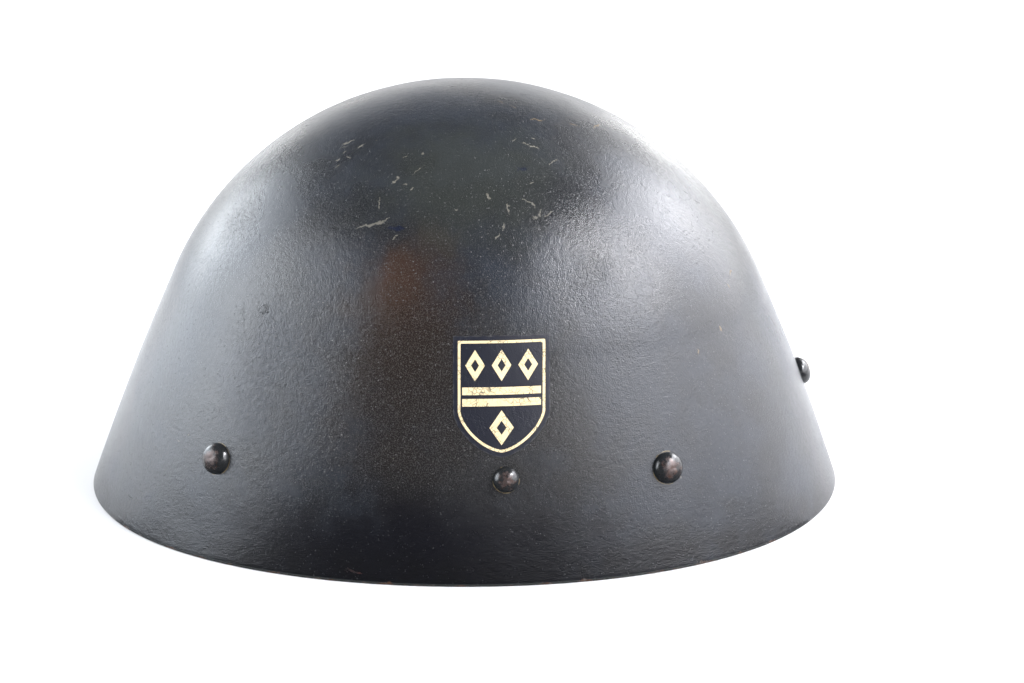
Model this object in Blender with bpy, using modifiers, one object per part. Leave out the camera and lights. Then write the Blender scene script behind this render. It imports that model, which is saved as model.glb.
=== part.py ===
"""Pressed steel helmet shell with domed rivets and a shield-shaped label, resting on its level rim.

The front is -Y, the wearer's left is +X, and the rim lies on Z = 0 below the crown.
"""
import math

import bmesh
import bpy
import numpy as np
from mathutils import Matrix, Vector

# Shell
RIM_LENGTH = 0.296
RIM_WIDTH = 0.240
CROWN_HEIGHT = 0.1555
FRONT_CROWN_RADIUS = 0.124
REAR_CROWN_RADIUS = 0.127
SIDE_CROWN_RADIUS = 0.105
WALL_BULGE = 0.0010
OVAL_FULLNESS = 0.014
REAR_WIDENING = 0.015
STEEL_THICKNESS = 0.0012
RIM_ROUNDING = 0.0003

# Rivets: how far each pair stands from the middle of the length, and how high
FRONT_RIVET_STATION = -0.085
CHIN_RIVET_STATION = 0.017
REAR_RIVET_STATION = 0.073
LINER_RIVET_HEIGHT = 0.035
CHIN_RIVET_HEIGHT = 0.036
CENTER_RIVET_HEIGHT = 0.040
LINER_HEAD_RADIUS = 0.0056
LINER_HEAD_HEIGHT = 0.0038
CHIN_HEAD_RADIUS = 0.0044
CHIN_HEAD_HEIGHT = 0.0030
HEAD_EDGE = 0.0005
SHANK_RADIUS = 0.0021
TAIL_RADIUS = 0.0036
TAIL_LENGTH = 0.0014
TAIL_ROUNDING = 0.0004

# Label
LABEL_WIDTH = 0.033
LABEL_LENGTH = 0.041
LABEL_THICKNESS = 0.00025
LABEL_STRAIGHT_SHARE = 0.62
LABEL_POINT_EXPONENT = 1.6
LABEL_TO_RIVET = 0.0033
LABEL_FORWARD_SHIFT = 0.0015

# Room between pieces
SEAT_GAP = 0.0003
HOLE_CLEARANCE = 0.0004
TAIL_CLEARANCE = 0.0006

# Fineness of the faceted solids
SHELL_SIDES = 64
SHELL_RINGS = 24
RIVET_SIDES = 20
DOME_STEPS = 6
LABEL_ROWS = 12
LABEL_COLUMNS = 8

TRIM_ALLOWANCE = 0.002
CUTTER_MARGIN = 0.010
MERGE_DISTANCE = 0.00001
SHARP_ANGLE = math.radians(35)

PAINT_COLOR = (0.030, 0.034, 0.042, 1.0)
RIVET_COLOR = (0.060, 0.052, 0.048, 1.0)
LABEL_COLOR = (0.018, 0.024, 0.042, 1.0)


def wall_and_crown(height, half_extent, crown_radius):
    """Half-extent of one side at a height: a crown arc, and a slightly bulged wall that runs tangent into it.

    The wall starts at the rim, half_extent from the middle, and touches the crown circle, whose top is at
    CROWN_HEIGHT.
    """
    center = CROWN_HEIGHT - crown_radius
    to_center = math.hypot(half_extent, center)
    touch_angle = math.atan2(-center, half_extent) + math.acos(crown_radius / to_center)
    touch_reach = crown_radius * math.cos(touch_angle)
    touch_height = center + crown_radius * math.sin(touch_angle)
    if height >= touch_height:
        rise = height - center
        return math.sqrt(max(crown_radius ** 2 - rise ** 2, 0.0))
    share = height / touch_height
    bulge = 4.0 * WALL_BULGE * share * (1.0 - share) / math.cos(touch_angle)
    return half_extent + (touch_reach - half_extent) * share + bulge


def shell_point(turn, height):
    """Point of the outer surface at a turn about the crown, from the rear over the wearer's left, and a height."""
    along = math.cos(turn)
    across = math.sin(turn)
    fullness = 1.0 + OVAL_FULLNESS * math.sin(2.0 * turn) ** 2
    end_radius = FRONT_CROWN_RADIUS if along < 0.0 else REAR_CROWN_RADIUS
    reach = wall_and_crown(height, RIM_LENGTH / 2.0, end_radius)
    side = wall_and_crown(height, RIM_WIDTH / 2.0, SIDE_CROWN_RADIUS)
    x = side * across * fullness * (1.0 + REAR_WIDENING * along)
    y = reach * along * fullness
    return Vector((x, y, height))


def shell_normal(turn, height):
    """Outward normal of the outer surface, from two short steps on it."""
    step = 0.001
    round_step = shell_point(turn + step, height) - shell_point(turn - step, height)
    up_step = shell_point(turn, height + step) - shell_point(turn, height - step)
    return up_step.cross(round_step).normalized()


def turn_at_station(station, height):
    """Turn on the wearer's left whose point lies at a station along the length, found by halving."""
    low = 0.0
    high = math.pi
    for _ in range(50):
        middle = (low + high) / 2.0
        if shell_point(middle, height).y > station:
            low = middle
        else:
            high = middle
    return (low + high) / 2.0


def seat_frame(turn, height):
    """Frame with its origin on the outer surface and its Z along the outward normal."""
    normal = shell_normal(turn, height)
    turned = normal.to_track_quat("Z", "Y").to_matrix().to_4x4()
    return Matrix.Translation(shell_point(turn, height)) @ turned


def make_material(name, color, roughness, metallic):
    """Principled material with a plain colour."""
    material = bpy.data.materials.new(name)
    material.use_nodes = True
    shader = material.node_tree.nodes["Principled BSDF"]
    shader.inputs["Base Color"].default_value = color
    shader.inputs["Roughness"].default_value = roughness
    shader.inputs["Metallic"].default_value = metallic
    material.diffuse_color = color
    return material


def add_object(name, mesh, collection, material=None):
    """Object for a mesh, linked to a collection and given its material."""
    obj = bpy.data.objects.new(name, mesh)
    collection.objects.link(obj)
    if material is not None:
        mesh.materials.append(material)
    return obj


def add_cutter(name, mesh, collection):
    """Hidden object that cuts another."""
    cutter = add_object(name, mesh, collection)
    cutter.hide_render = True
    cutter.display_type = "WIRE"
    return cutter


def cut(obj, cutter):
    """Boolean difference left live on the object."""
    boolean = obj.modifiers.new("cut_" + cutter.name, "BOOLEAN")
    boolean.operation = "DIFFERENCE"
    boolean.solver = "EXACT"
    boolean.object = cutter


def shell_surface():
    """Open outer surface: the upper half of a unit sphere whose rings take the helmet's oval sections.

    A last ring below the rim gives the trim something to cut off.
    """
    mesh = bpy.data.meshes.new("helmet_shell")
    bm = bmesh.new()
    bmesh.ops.create_uvsphere(bm, u_segments=SHELL_SIDES, v_segments=2 * SHELL_RINGS, radius=1.0)
    ring_step = math.pi / (2.0 * SHELL_RINGS)
    below = [vert for vert in bm.verts if vert.co.z < -math.sin(1.5 * ring_step)]
    bmesh.ops.delete(bm, geom=below, context="VERTS")
    for vert in bm.verts:
        on_rim = abs(vert.co.z) < MERGE_DISTANCE
        height = 0.0 if on_rim else max(vert.co.z * CROWN_HEIGHT, -TRIM_ALLOWANCE)
        vert.co = shell_point(math.atan2(vert.co.x, vert.co.y), height)
    bmesh.ops.recalc_face_normals(bm, faces=bm.faces)
    bm.to_mesh(mesh)
    bm.free()
    mesh.shade_smooth()
    return mesh


def trim_block():
    """Block below the level of the rim."""
    mesh = bpy.data.meshes.new("rim_trim")
    bm = bmesh.new()
    bmesh.ops.create_cube(bm, size=1.0)
    depth = TRIM_ALLOWANCE + CUTTER_MARGIN
    size = Vector((RIM_WIDTH + 2.0 * CUTTER_MARGIN, RIM_LENGTH + 2.0 * CUTTER_MARGIN, depth))
    bmesh.ops.scale(bm, vec=size, verts=bm.verts)
    bmesh.ops.translate(bm, vec=Vector((0.0, 0.0, -depth / 2.0)), verts=bm.verts)
    bm.to_mesh(mesh)
    bm.free()
    return mesh


def build_shell(parts, cutters, seats):
    """Pressed shell: the outer surface given the steel's thickness, trimmed level, rounded and drilled."""
    material = make_material("shell_paint", PAINT_COLOR, 0.42, 0.0)
    shell = add_object("helmet_shell", shell_surface(), parts, material)
    solidify = shell.modifiers.new("steel", "SOLIDIFY")
    solidify.thickness = STEEL_THICKNESS
    solidify.offset = -1.0
    solidify.use_even_offset = True
    cut(shell, add_cutter("rim_trim", trim_block(), cutters))
    rounding = shell.modifiers.new("rim_rounding", "BEVEL")
    rounding.width = RIM_ROUNDING
    rounding.segments = 1
    rounding.limit_method = "ANGLE"
    rounding.angle_limit = SHARP_ANGLE
    for name, frame in seats.items():
        cut(shell, rivet_drill(name, frame, cutters))
    shell.data.set_sharp_from_angle(angle=SHARP_ANGLE)
    return shell


def rivet_drill(name, frame, cutters):
    """Cylinder that drills the hole of one rivet, square to the shell."""
    mesh = bpy.data.meshes.new(name + "_drill")
    radius = SHANK_RADIUS + HOLE_CLEARANCE
    bm = bmesh.new()
    bmesh.ops.create_cone(bm, cap_ends=True, segments=RIVET_SIDES, radius1=radius, radius2=radius,
                          depth=2.0 * CUTTER_MARGIN)
    bm.to_mesh(mesh)
    bm.free()
    drill = add_cutter(name + "_drill", mesh, cutters)
    drill.matrix_world = frame
    return drill


def rivet_profile(head_radius, head_height):
    """Half outline of a rivet from the top of its dome to the end of its tail, as radius and height."""
    dome_height = head_height - HEAD_EDGE
    ball = (head_radius ** 2 + dome_height ** 2) / (2.0 * dome_height)
    edge_angle = math.asin(head_radius / ball)
    angles = np.linspace(0.0, edge_angle, DOME_STEPS + 1)
    top = SEAT_GAP + head_height
    dome = [(ball * math.sin(a), top - ball * (1.0 - math.cos(a))) for a in angles]
    tail_top = -(STEEL_THICKNESS + TAIL_CLEARANCE)
    tail_end = tail_top - TAIL_LENGTH
    below = [
        (head_radius, SEAT_GAP),
        (SHANK_RADIUS, SEAT_GAP),
        (SHANK_RADIUS, tail_top),
        (TAIL_RADIUS, tail_top),
        (TAIL_RADIUS, tail_end + TAIL_ROUNDING),
        (TAIL_RADIUS - TAIL_ROUNDING, tail_end),
        (0.0, tail_end),
    ]
    return dome + below


def rivet_mesh(name, head_radius, head_height):
    """Open half outline of a rivet, ready to be turned about Z."""
    points = rivet_profile(head_radius, head_height)
    mesh = bpy.data.meshes.new(name)
    vertices = [(radius, 0.0, height) for radius, height in points]
    edges = [(i, i + 1) for i in range(len(points) - 1)]
    mesh.from_pydata(vertices, edges, [])
    return mesh


def build_rivet(name, mesh, frame, parts):
    """Rivet turned about its own axis and seated square to the shell."""
    rivet = bpy.data.objects.new(name, mesh)
    parts.objects.link(rivet)
    rivet.matrix_world = frame
    turning = rivet.modifiers.new("turning", "SCREW")
    turning.steps = RIVET_SIDES
    turning.render_steps = RIVET_SIDES
    turning.use_merge_vertices = True
    turning.merge_threshold = MERGE_DISTANCE
    turning.use_smooth_shade = True
    return rivet


def mirrored(frame):
    """Frame of the same seat on the other side of the helmet, for a piece that is turned about its own Z."""
    place = Vector((-frame.translation.x, frame.translation.y, frame.translation.z))
    axis = Vector((-frame.col[2].x, frame.col[2].y, frame.col[2].z))
    return Matrix.Translation(place) @ axis.to_track_quat("Z", "Y").to_matrix().to_4x4()


def paired_seats(name, station, height):
    """Seats of a left and a right rivet at the same station."""
    left = seat_frame(turn_at_station(station, height), height)
    return {name + "_left": left, name + "_right": mirrored(left)}


def shield_half_width(share):
    """Half-width of the shield at a share of its length, from the flat top down to the rounded point.

    The sides run straight down first, then swing in along a superellipse, a little more pointed than an arc.
    """
    if share <= LABEL_STRAIGHT_SHARE:
        return LABEL_WIDTH / 2.0
    swing = (share - LABEL_STRAIGHT_SHARE) / (1.0 - LABEL_STRAIGHT_SHARE)
    rest = max(1.0 - swing ** LABEL_POINT_EXPONENT, 0.0)
    return LABEL_WIDTH / 2.0 * rest ** (1.0 / LABEL_POINT_EXPONENT)


def label_rows():
    """Shares of the label's length from top to bottom, closer together where the sides swing in."""
    straight = np.linspace(0.0, LABEL_STRAIGHT_SHARE, LABEL_ROWS // 3, endpoint=False)
    swing = np.sin(np.linspace(0.0, math.pi / 2.0, LABEL_ROWS - LABEL_ROWS // 3))
    return list(straight) + list(LABEL_STRAIGHT_SHARE + (1.0 - LABEL_STRAIGHT_SHARE) * swing)


def label_point(across, share):
    """Point of the label's back at a distance across from its middle and a share of its length from the top."""
    lean = shell_normal(turn_at_station(CHIN_RIVET_STATION, CHIN_RIVET_HEIGHT), CHIN_RIVET_HEIGHT)
    upright = math.hypot(lean.x, lean.y)
    bottom = CHIN_RIVET_HEIGHT + (CHIN_HEAD_RADIUS + LABEL_TO_RIVET) * upright
    height = bottom + LABEL_LENGTH * (1.0 - share) * upright
    turn = turn_at_station(CHIN_RIVET_STATION - LABEL_FORWARD_SHIFT + across, height)
    return shell_point(turn, height) + SEAT_GAP * shell_normal(turn, height)


def build_label(parts):
    """Thin shield-shaped sheet that follows the shell above the left chin rivet."""
    mesh = bpy.data.meshes.new("side_shield_label")
    bm = bmesh.new()
    rows = []
    for share in label_rows()[:-1]:
        half = shield_half_width(share)
        spread = np.linspace(-half, half, LABEL_COLUMNS + 1)
        rows.append([bm.verts.new(label_point(across, share)) for across in spread])
    for upper, lower in zip(rows, rows[1:]):
        for i in range(LABEL_COLUMNS):
            bm.faces.new((upper[i], lower[i], lower[i + 1], upper[i + 1]))
    tip = bm.verts.new(label_point(0.0, 1.0))
    for i in range(LABEL_COLUMNS):
        bm.faces.new((rows[-1][i], tip, rows[-1][i + 1]))
    bm.to_mesh(mesh)
    bm.free()
    mesh.shade_smooth()
    label = add_object("side_shield_label", mesh, parts, make_material("label_print", LABEL_COLOR, 0.5, 0.0))
    sheet = label.modifiers.new("sheet", "SOLIDIFY")
    sheet.thickness = LABEL_THICKNESS
    sheet.offset = 1.0
    return label


def build_rivets(seats, parts):
    """All rivets: the chin pair shares a smaller form, the others a larger one."""
    material = make_material("rivet_steel", RIVET_COLOR, 0.35, 0.6)
    chin_form = rivet_mesh("chin_rivet", CHIN_HEAD_RADIUS, CHIN_HEAD_HEIGHT)
    liner_form = rivet_mesh("liner_rivet", LINER_HEAD_RADIUS, LINER_HEAD_HEIGHT)
    chin_form.materials.append(material)
    liner_form.materials.append(material)
    for name, frame in seats.items():
        form = chin_form if name.startswith("chin") else liner_form
        build_rivet(name, form, frame, parts)


def new_collection(name):
    """Collection linked to the scene."""
    collection = bpy.data.collections.new(name)
    bpy.context.scene.collection.children.link(collection)
    return collection


def main():
    """Clears the scene and builds the helmet."""
    for obj in list(bpy.data.objects):
        bpy.data.objects.remove(obj, do_unlink=True)
    parts = new_collection("steel_helmet")
    cutters = new_collection("cutters")
    seats = {}
    seats.update(paired_seats("front_rivet", FRONT_RIVET_STATION, LINER_RIVET_HEIGHT))
    seats.update(paired_seats("chin_rivet", CHIN_RIVET_STATION, CHIN_RIVET_HEIGHT))
    seats.update(paired_seats("rear_rivet", REAR_RIVET_STATION, LINER_RIVET_HEIGHT))
    seats["rear_rivet_center"] = seat_frame(0.0, CENTER_RIVET_HEIGHT)
    build_shell(parts, cutters, seats)
    build_rivets(seats, parts)
    build_label(parts)


main()
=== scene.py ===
"""Looks of the pressed steel helmet: worn grained paint, domed rivets, a side label, floor and light.

Metres, +Z up, front towards -Y, the wearer's left towards +X, rim on Z = 0.
"""
import logging
import math
from dataclasses import dataclass, field
from enum import Enum

import bpy
import numpy as np
from mathutils import Matrix, Vector

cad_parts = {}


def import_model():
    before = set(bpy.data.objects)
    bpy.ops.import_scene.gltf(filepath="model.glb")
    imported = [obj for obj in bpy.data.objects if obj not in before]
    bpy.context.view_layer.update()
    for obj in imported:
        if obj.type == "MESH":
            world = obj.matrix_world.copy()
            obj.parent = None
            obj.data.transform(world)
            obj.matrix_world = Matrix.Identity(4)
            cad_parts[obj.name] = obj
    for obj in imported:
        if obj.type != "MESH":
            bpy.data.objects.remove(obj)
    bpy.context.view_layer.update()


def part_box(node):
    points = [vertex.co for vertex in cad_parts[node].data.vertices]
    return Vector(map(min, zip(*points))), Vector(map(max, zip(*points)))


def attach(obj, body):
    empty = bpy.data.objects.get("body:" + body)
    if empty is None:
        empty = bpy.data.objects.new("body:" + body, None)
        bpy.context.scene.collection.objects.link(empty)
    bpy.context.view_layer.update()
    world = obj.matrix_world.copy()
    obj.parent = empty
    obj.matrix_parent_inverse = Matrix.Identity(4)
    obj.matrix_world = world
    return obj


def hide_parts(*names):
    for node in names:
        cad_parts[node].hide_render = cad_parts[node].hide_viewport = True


MM = 0.001
FULL_TURN = 2.0 * math.pi
QUARTER_TURN = math.pi / 2.0
SHARP_EDGE = math.radians(50.0)
UP = np.array([0.0, 0.0, 1.0])
LOG = logging.getLogger("helmet")
Socket = bpy.types.NodeSocket
Value = Socket | float
Color = tuple[float, float, float, float]
Band = tuple[float, float]
Pixel = tuple[float, float]
Direction = tuple[float, float, float]


class Side(Enum):
    """Side of the helmet that a rivet sits on, as the sign of X."""

    LEFT = 1.0
    RIGHT = -1.0
    CENTER = 0.0


class MarkKind(Enum):
    """What a mark in the paint shows."""

    BUFF = "buff undercoat"
    TAN = "tan spot"
    DARK = "dark scratch"
    DULL = "dull spot"
    BLUE = "blue-black spot"
    RED = "red fleck"


class SocketKind(Enum):
    """Types of a node group's sockets."""

    NUMBER = "NodeSocketFloat"
    VECTOR = "NodeSocketVector"


@dataclass(frozen=True)
class Grit:
    """A noise pattern: the size of its features in metres, its octaves, and the share of each finer one."""

    size: float
    detail: float = 2.0
    roughness: float = 0.5


@dataclass(frozen=True)
class SoftSpot:
    """A soft oval of the shell: a pixel of the photograph, half sizes in millimetres, and a strength."""

    pixel: Pixel
    reach: tuple[float, float]
    strength: float


@dataclass(frozen=True)
class TintedSpot(SoftSpot):
    """A soft spot of another colour."""

    color: Color


class Graph:
    """A node tree, with short calls for the nodes that the finishes share."""

    def __init__(self, tree: bpy.types.NodeTree) -> None:
        """Wraps a tree."""
        self.tree = tree

    def link(self, source: Socket, target: Socket) -> None:
        """Joins two sockets."""
        self.tree.links.new(source, target)

    def node(self, kind: str, inputs: dict[str | int, object] | None = None,
             **settings: object) -> bpy.types.Node:
        """Adds a node, sets it up and joins its inputs.

        Args:
            kind: node type.
            inputs: values, or sockets to link, by input name or number.
            settings: node properties by name.

        Returns:
            The new node.
        """
        node = self.tree.nodes.new(kind)
        for name, value in settings.items():
            setattr(node, name, value)
        for key, value in (inputs or {}).items():
            if isinstance(value, Socket):
                self.link(value, node.inputs[key])
            else:
                node.inputs[key].default_value = value
        return node

    def calc(self, operation: str, first: Value, second: Value = 0.0, third: Value = 0.0,
             clamp: bool = False) -> Socket:
        """Adds a Math node.

        Args:
            operation: Math operation.
            first: first operand.
            second: second operand.
            third: third operand, where the operation has one.
            clamp: whether the result is kept between 0 and 1.

        Returns:
            The result's socket.
        """
        operands = {0: first, 1: second, 2: third}
        return self.node("ShaderNodeMath", operands, operation=operation, use_clamp=clamp).outputs[0]

    def times(self, first: Value, second: Value, clamp: bool = False) -> Socket:
        """Product of two values."""
        return self.calc("MULTIPLY", first, second, clamp=clamp)

    def mix_in(self, value: Value, factor: Value, start: Value) -> Socket:
        """A starting value plus another one times its factor."""
        return self.calc("MULTIPLY_ADD", value, factor, start)

    def vector(self, operation: str, first: object, second: object = (0.0, 0.0, 0.0), scale: Value = 1.0,
               output: str | int = 0) -> Socket:
        """Adds a Vector Math node.

        Args:
            operation: Vector Math operation.
            first: first operand.
            second: second operand.
            scale: factor of a Scale operation.
            output: output that is read.

        Returns:
            The output's socket.
        """
        operands = {0: first, 1: second, 3: scale}
        return self.node("ShaderNodeVectorMath", operands, operation=operation).outputs[output]

    def ramp(self, value: Value, low: float, high: float, to_low: Value = 0.0,
             to_high: Value = 1.0) -> Socket:
        """Maps a value smoothly from one range to another.

        Args:
            value: what is mapped.
            low: value that gives to_low.
            high: value that gives to_high.
            to_low: result at low.
            to_high: result at high.

        Returns:
            The mapped value's socket.
        """
        limits = {"Value": value, "From Min": low, "From Max": high, "To Min": to_low, "To Max": to_high}
        return self.node("ShaderNodeMapRange", limits, interpolation_type="SMOOTHSTEP").outputs["Result"]

    def blend(self, factor: Value, first: Socket | Color, second: Socket | Color) -> Socket:
        """Adds a colour Mix node.

        Args:
            factor: how much of the second colour shows.
            first: colour below.
            second: colour above.

        Returns:
            The mixed colour's socket.
        """
        return self.node("ShaderNodeMix", {0: factor, 6: first, 7: second}, data_type="RGBA").outputs[2]

    def noise(self, position: Socket, size: float, detail: float = 2.0, roughness: float = 0.5,
              output: str = "Fac") -> Socket:
        """Adds a Noise texture.

        Args:
            position: coordinates.
            size: feature size, in the coordinates' unit.
            detail: octaves.
            roughness: share of each finer octave.
            output: output that is read.

        Returns:
            The noise's socket.
        """
        inputs = {"Vector": position, "Scale": 1.0 / size, "Detail": detail, "Roughness": roughness}
        return self.node("ShaderNodeTexNoise", inputs).outputs[output]

    def use(self, group: "EffectGroup", inputs: dict[str | int, object]) -> dict[str, Socket]:
        """Places a shared group.

        Args:
            group: the group.
            inputs: values or sockets by input name.

        Returns:
            The group's output sockets by name.
        """
        return dict(self.node("ShaderNodeGroup", inputs, node_tree=group.tree).outputs.items())


class EffectGroup(Graph):
    """A node group that finishes share, with its inputs to read and its outputs to fill."""

    def __init__(self, name: str, inputs: dict[str, SocketKind], outputs: tuple[str, ...]) -> None:
        """Makes an empty group.

        Args:
            name: the group's name.
            inputs: kinds of the inputs by name.
            outputs: names of the outputs, which are all numbers.
        """
        super().__init__(bpy.data.node_groups.new(name, "ShaderNodeTree"))
        for label, kind in inputs.items():
            self.tree.interface.new_socket(label, in_out="INPUT", socket_type=kind.value)
        for label in outputs:
            self.tree.interface.new_socket(label, in_out="OUTPUT", socket_type=SocketKind.NUMBER.value)
        self.given = dict(self.tree.nodes.new("NodeGroupInput").outputs.items())
        self.out = dict(self.tree.nodes.new("NodeGroupOutput").inputs.items())


class Finish(Graph):
    """A new material, with its shader, its position in metres and its UV map."""

    def __init__(self, name: str) -> None:
        """Makes the material."""
        self.material = bpy.data.materials.new(name)
        self.material.use_nodes = True
        super().__init__(self.material.node_tree)
        self.shader = self.tree.nodes["Principled BSDF"]
        where = self.node("ShaderNodeTexCoord")
        self.position = where.outputs["Object"]
        self.uv = where.outputs["UV"]

    def parts(self, vector: Socket) -> dict[str, Socket]:
        """The X, Y and Z of a vector."""
        return dict(self.node("ShaderNodeSeparateXYZ", {0: vector}).outputs.items())

    def fine_noise(self, grit: Grit) -> Socket:
        """Noise in the piece's own metres."""
        return self.noise(self.position, grit.size, grit.detail, grit.roughness)

    def attribute(self, name: str) -> Socket:
        """Value of a mesh attribute."""
        return self.node("ShaderNodeAttribute", attribute_name=name).outputs["Fac"]

    def shade(self, color: Socket, rough: Value, height: Socket, depth: Value,
              strength: float = 1.0) -> None:
        """Gives the shader its colour, roughness and relief.

        Args:
            color: base colour.
            rough: roughness.
            height: relief, as a share of its depth.
            depth: depth of the relief in metres.
            strength: how much of the relief shows.
        """
        self.link(color, self.shader.inputs["Base Color"])
        self.link(rough, self.shader.inputs["Roughness"])
        bump = self.node("ShaderNodeBump", {"Strength": strength, "Distance": depth, "Height": height})
        self.link(bump.outputs[0], self.shader.inputs["Normal"])


@dataclass(frozen=True)
class Effects:
    """Node groups that more than one finish uses."""

    grain: EffectGroup
    mark: EffectGroup
    patch: EffectGroup
    specks: EffectGroup


def grain_group() -> EffectGroup:
    """Builds the fine orange-peel grain: rounded bumps, a sandy tooth and slow clouds.

    Height adds the tooth to a coarser swell. Sand is the tooth alone, and Clouds is slow noise for tint.

    Returns:
        The group.
    """
    tooth_size, swell_size, cloud_size, swell_share = 0.7, 3.0, 45.0, 0.8
    group = EffectGroup("paint_grain", {"Position": SocketKind.VECTOR, "Size": SocketKind.NUMBER},
                        ("Height", "Sand", "Clouds"))
    scale = group.calc("DIVIDE", 1.0, group.given["Size"])
    spot = group.vector("SCALE", group.given["Position"], scale=scale)
    tooth = group.noise(spot, tooth_size, 1.0, 0.6)
    swell = group.noise(spot, swell_size, 1.0, 0.5)
    group.link(group.mix_in(swell, swell_share, tooth), group.out["Height"])
    group.link(tooth, group.out["Sand"])
    group.link(group.noise(spot, cloud_size, 3.0, 0.55), group.out["Clouds"])
    return group


def specks_group() -> EffectGroup:
    """Builds scattered round dots and pits: cells of a random pattern, chosen by their own random value.

    Cells whose value is under the share are light dots, those over one less the share are pits. A second
    random value varies their size and a third, squared, their strength.

    Returns:
        The group.
    """
    size_spread, least_size, strength_spread, least_strength, solid_core = 0.9, 0.4, 0.8, 0.2, 0.4
    group = EffectGroup("scattered_specks",
                        {"Position": SocketKind.VECTOR, "Spacing": SocketKind.NUMBER,
                         "Share": SocketKind.NUMBER, "Radius": SocketKind.NUMBER}, ("Dots", "Pits"))
    scale = group.calc("DIVIDE", 1.0, group.given["Spacing"])
    spot = group.vector("SCALE", group.given["Position"], scale=scale)
    cells = group.node("ShaderNodeTexVoronoi", {"Vector": spot, "Scale": 1.0})
    choice, spread, weight = group.node("ShaderNodeSeparateColor", {0: cells.outputs["Color"]}).outputs
    size = group.times(group.given["Radius"], group.mix_in(spread, size_spread, least_size))
    near = group.ramp(group.calc("DIVIDE", cells.outputs["Distance"], size), 1.0, solid_core)
    strength = group.mix_in(group.calc("POWER", weight, 2.0), strength_spread, least_strength)
    shown = group.times(near, strength)
    light = group.calc("LESS_THAN", choice, group.given["Share"])
    dark = group.calc("GREATER_THAN", choice, group.calc("SUBTRACT", 1.0, group.given["Share"]))
    group.link(group.times(shown, light), group.out["Dots"])
    group.link(group.times(shown, dark), group.out["Pits"])
    return group


def mark_group() -> EffectGroup:
    """Builds one stroke: a long thin oval, whose middle gives 0 and whose outline gives 1.

    The point is moved, turned and shrunk so that the oval becomes a ball, and its distance is measured.

    Returns:
        The group.
    """
    names = ("Position", "Center", "Turn", "Size")
    group = EffectGroup("paint_mark", dict.fromkeys(names, SocketKind.VECTOR), ("Distance",))
    fitted = dict(zip(("Vector", "Location", "Rotation", "Scale"), (group.given[name] for name in names)))
    local = group.node("ShaderNodeMapping", fitted, vector_type="TEXTURE")
    group.link(group.vector("LENGTH", local.outputs[0], output="Value"), group.out["Distance"])
    return group


def patch_group() -> EffectGroup:
    """Builds a soft oval patch: one at its middle, nothing past its reach, ragged where noise asks.

    Returns:
        The group.
    """
    raggedness, outer, inner = 1.5, 1.35, 0.3
    group = EffectGroup("soft_patch",
                        {"Position": SocketKind.VECTOR, "Center": SocketKind.VECTOR,
                         "Shrink": SocketKind.VECTOR, "Ragged": SocketKind.NUMBER}, ("Mask",))
    away = group.vector("SUBTRACT", group.given["Position"], group.given["Center"])
    scaled = group.vector("MULTIPLY", away, group.given["Shrink"])
    distance = group.vector("LENGTH", scaled, output="Value")
    rough = group.mix_in(group.given["Ragged"], raggedness, distance)
    group.link(group.ramp(rough, outer, inner), group.out["Mask"])
    return group


def surface_object(name: str, points: np.ndarray, faces: np.ndarray, triangles: np.ndarray,
                   uv: np.ndarray | None = None) -> bpy.types.Object:
    """Makes a smooth-shaded mesh object from arrays.

    Args:
        name: the piece's name.
        points: vertices, one row each.
        faces: four-cornered faces as vertex numbers.
        triangles: three-cornered faces as vertex numbers.
        uv: one pair for each vertex, put on the corners that use it.

    Returns:
        The object, at the origin.
    """
    mesh = bpy.data.meshes.new(name)
    loops = np.concatenate([faces.ravel(), triangles.ravel()]).astype(np.int32)
    counts = np.concatenate([np.full(len(faces), 4), np.full(len(triangles), 3)]).astype(np.int32)
    starts = np.concatenate([[0], np.cumsum(counts)[:-1]]).astype(np.int32)
    mesh.vertices.add(len(points))
    mesh.vertices.foreach_set("co", points.astype(np.float32).ravel())
    mesh.loops.add(len(loops))
    mesh.loops.foreach_set("vertex_index", loops)
    mesh.polygons.add(len(counts))
    mesh.polygons.foreach_set("loop_start", starts)
    mesh.polygons.foreach_set("use_smooth", np.ones(len(counts), bool))
    if uv is not None:
        layer = mesh.uv_layers.new(name="UVMap")
        layer.data.foreach_set("uv", uv[loops].astype(np.float32).ravel())
    mesh.update(calc_edges=True)
    mesh.validate()
    obj = bpy.data.objects.new(name, mesh)
    bpy.context.scene.collection.objects.link(obj)
    return obj


def flat_sheet(name: str, low: tuple[float, float], high: tuple[float, float],
               height: float) -> bpy.types.Object:
    """Makes a level rectangle.

    Args:
        name: the piece's name.
        low: its lowest X and Y.
        high: its highest X and Y.
        height: its Z.

    Returns:
        The object.
    """
    corners = np.array([[low[0], low[1], height], [high[0], low[1], height],
                        [high[0], high[1], height], [low[0], high[1], height]])
    return surface_object(name, corners, np.array([[0, 1, 2, 3]]), np.zeros((0, 3), int))


def ring_faces(rows: int, sides: int) -> np.ndarray:
    """Faces between neighbouring rings of a closed turn.

    Args:
        rows: number of rings.
        sides: vertices in each ring.

    Returns:
        Four vertex numbers for each face.
    """
    row, side = np.meshgrid(np.arange(rows - 1), np.arange(sides), indexing="ij")
    after = (side + 1) % sides
    corners = [row * sides + side, (row + 1) * sides + side, (row + 1) * sides + after, row * sides + after]
    return np.stack(corners, axis=-1).reshape(-1, 4)


def cap_faces(rows: int, sides: int) -> np.ndarray:
    """Triangles that close the first and the last ring, each onto a pole numbered after the rings.

    Args:
        rows: number of rings.
        sides: vertices in each ring.

    Returns:
        Three vertex numbers for each triangle.
    """
    side = np.arange(sides)
    after = (side + 1) % sides
    last = (rows - 1) * sides
    pole = np.full(sides, rows * sides)
    first_cap = np.stack([pole, side, after], axis=-1)
    last_cap = np.stack([last + side, pole + 1, last + after], axis=-1)
    return np.concatenate([first_cap, last_cap])


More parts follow.
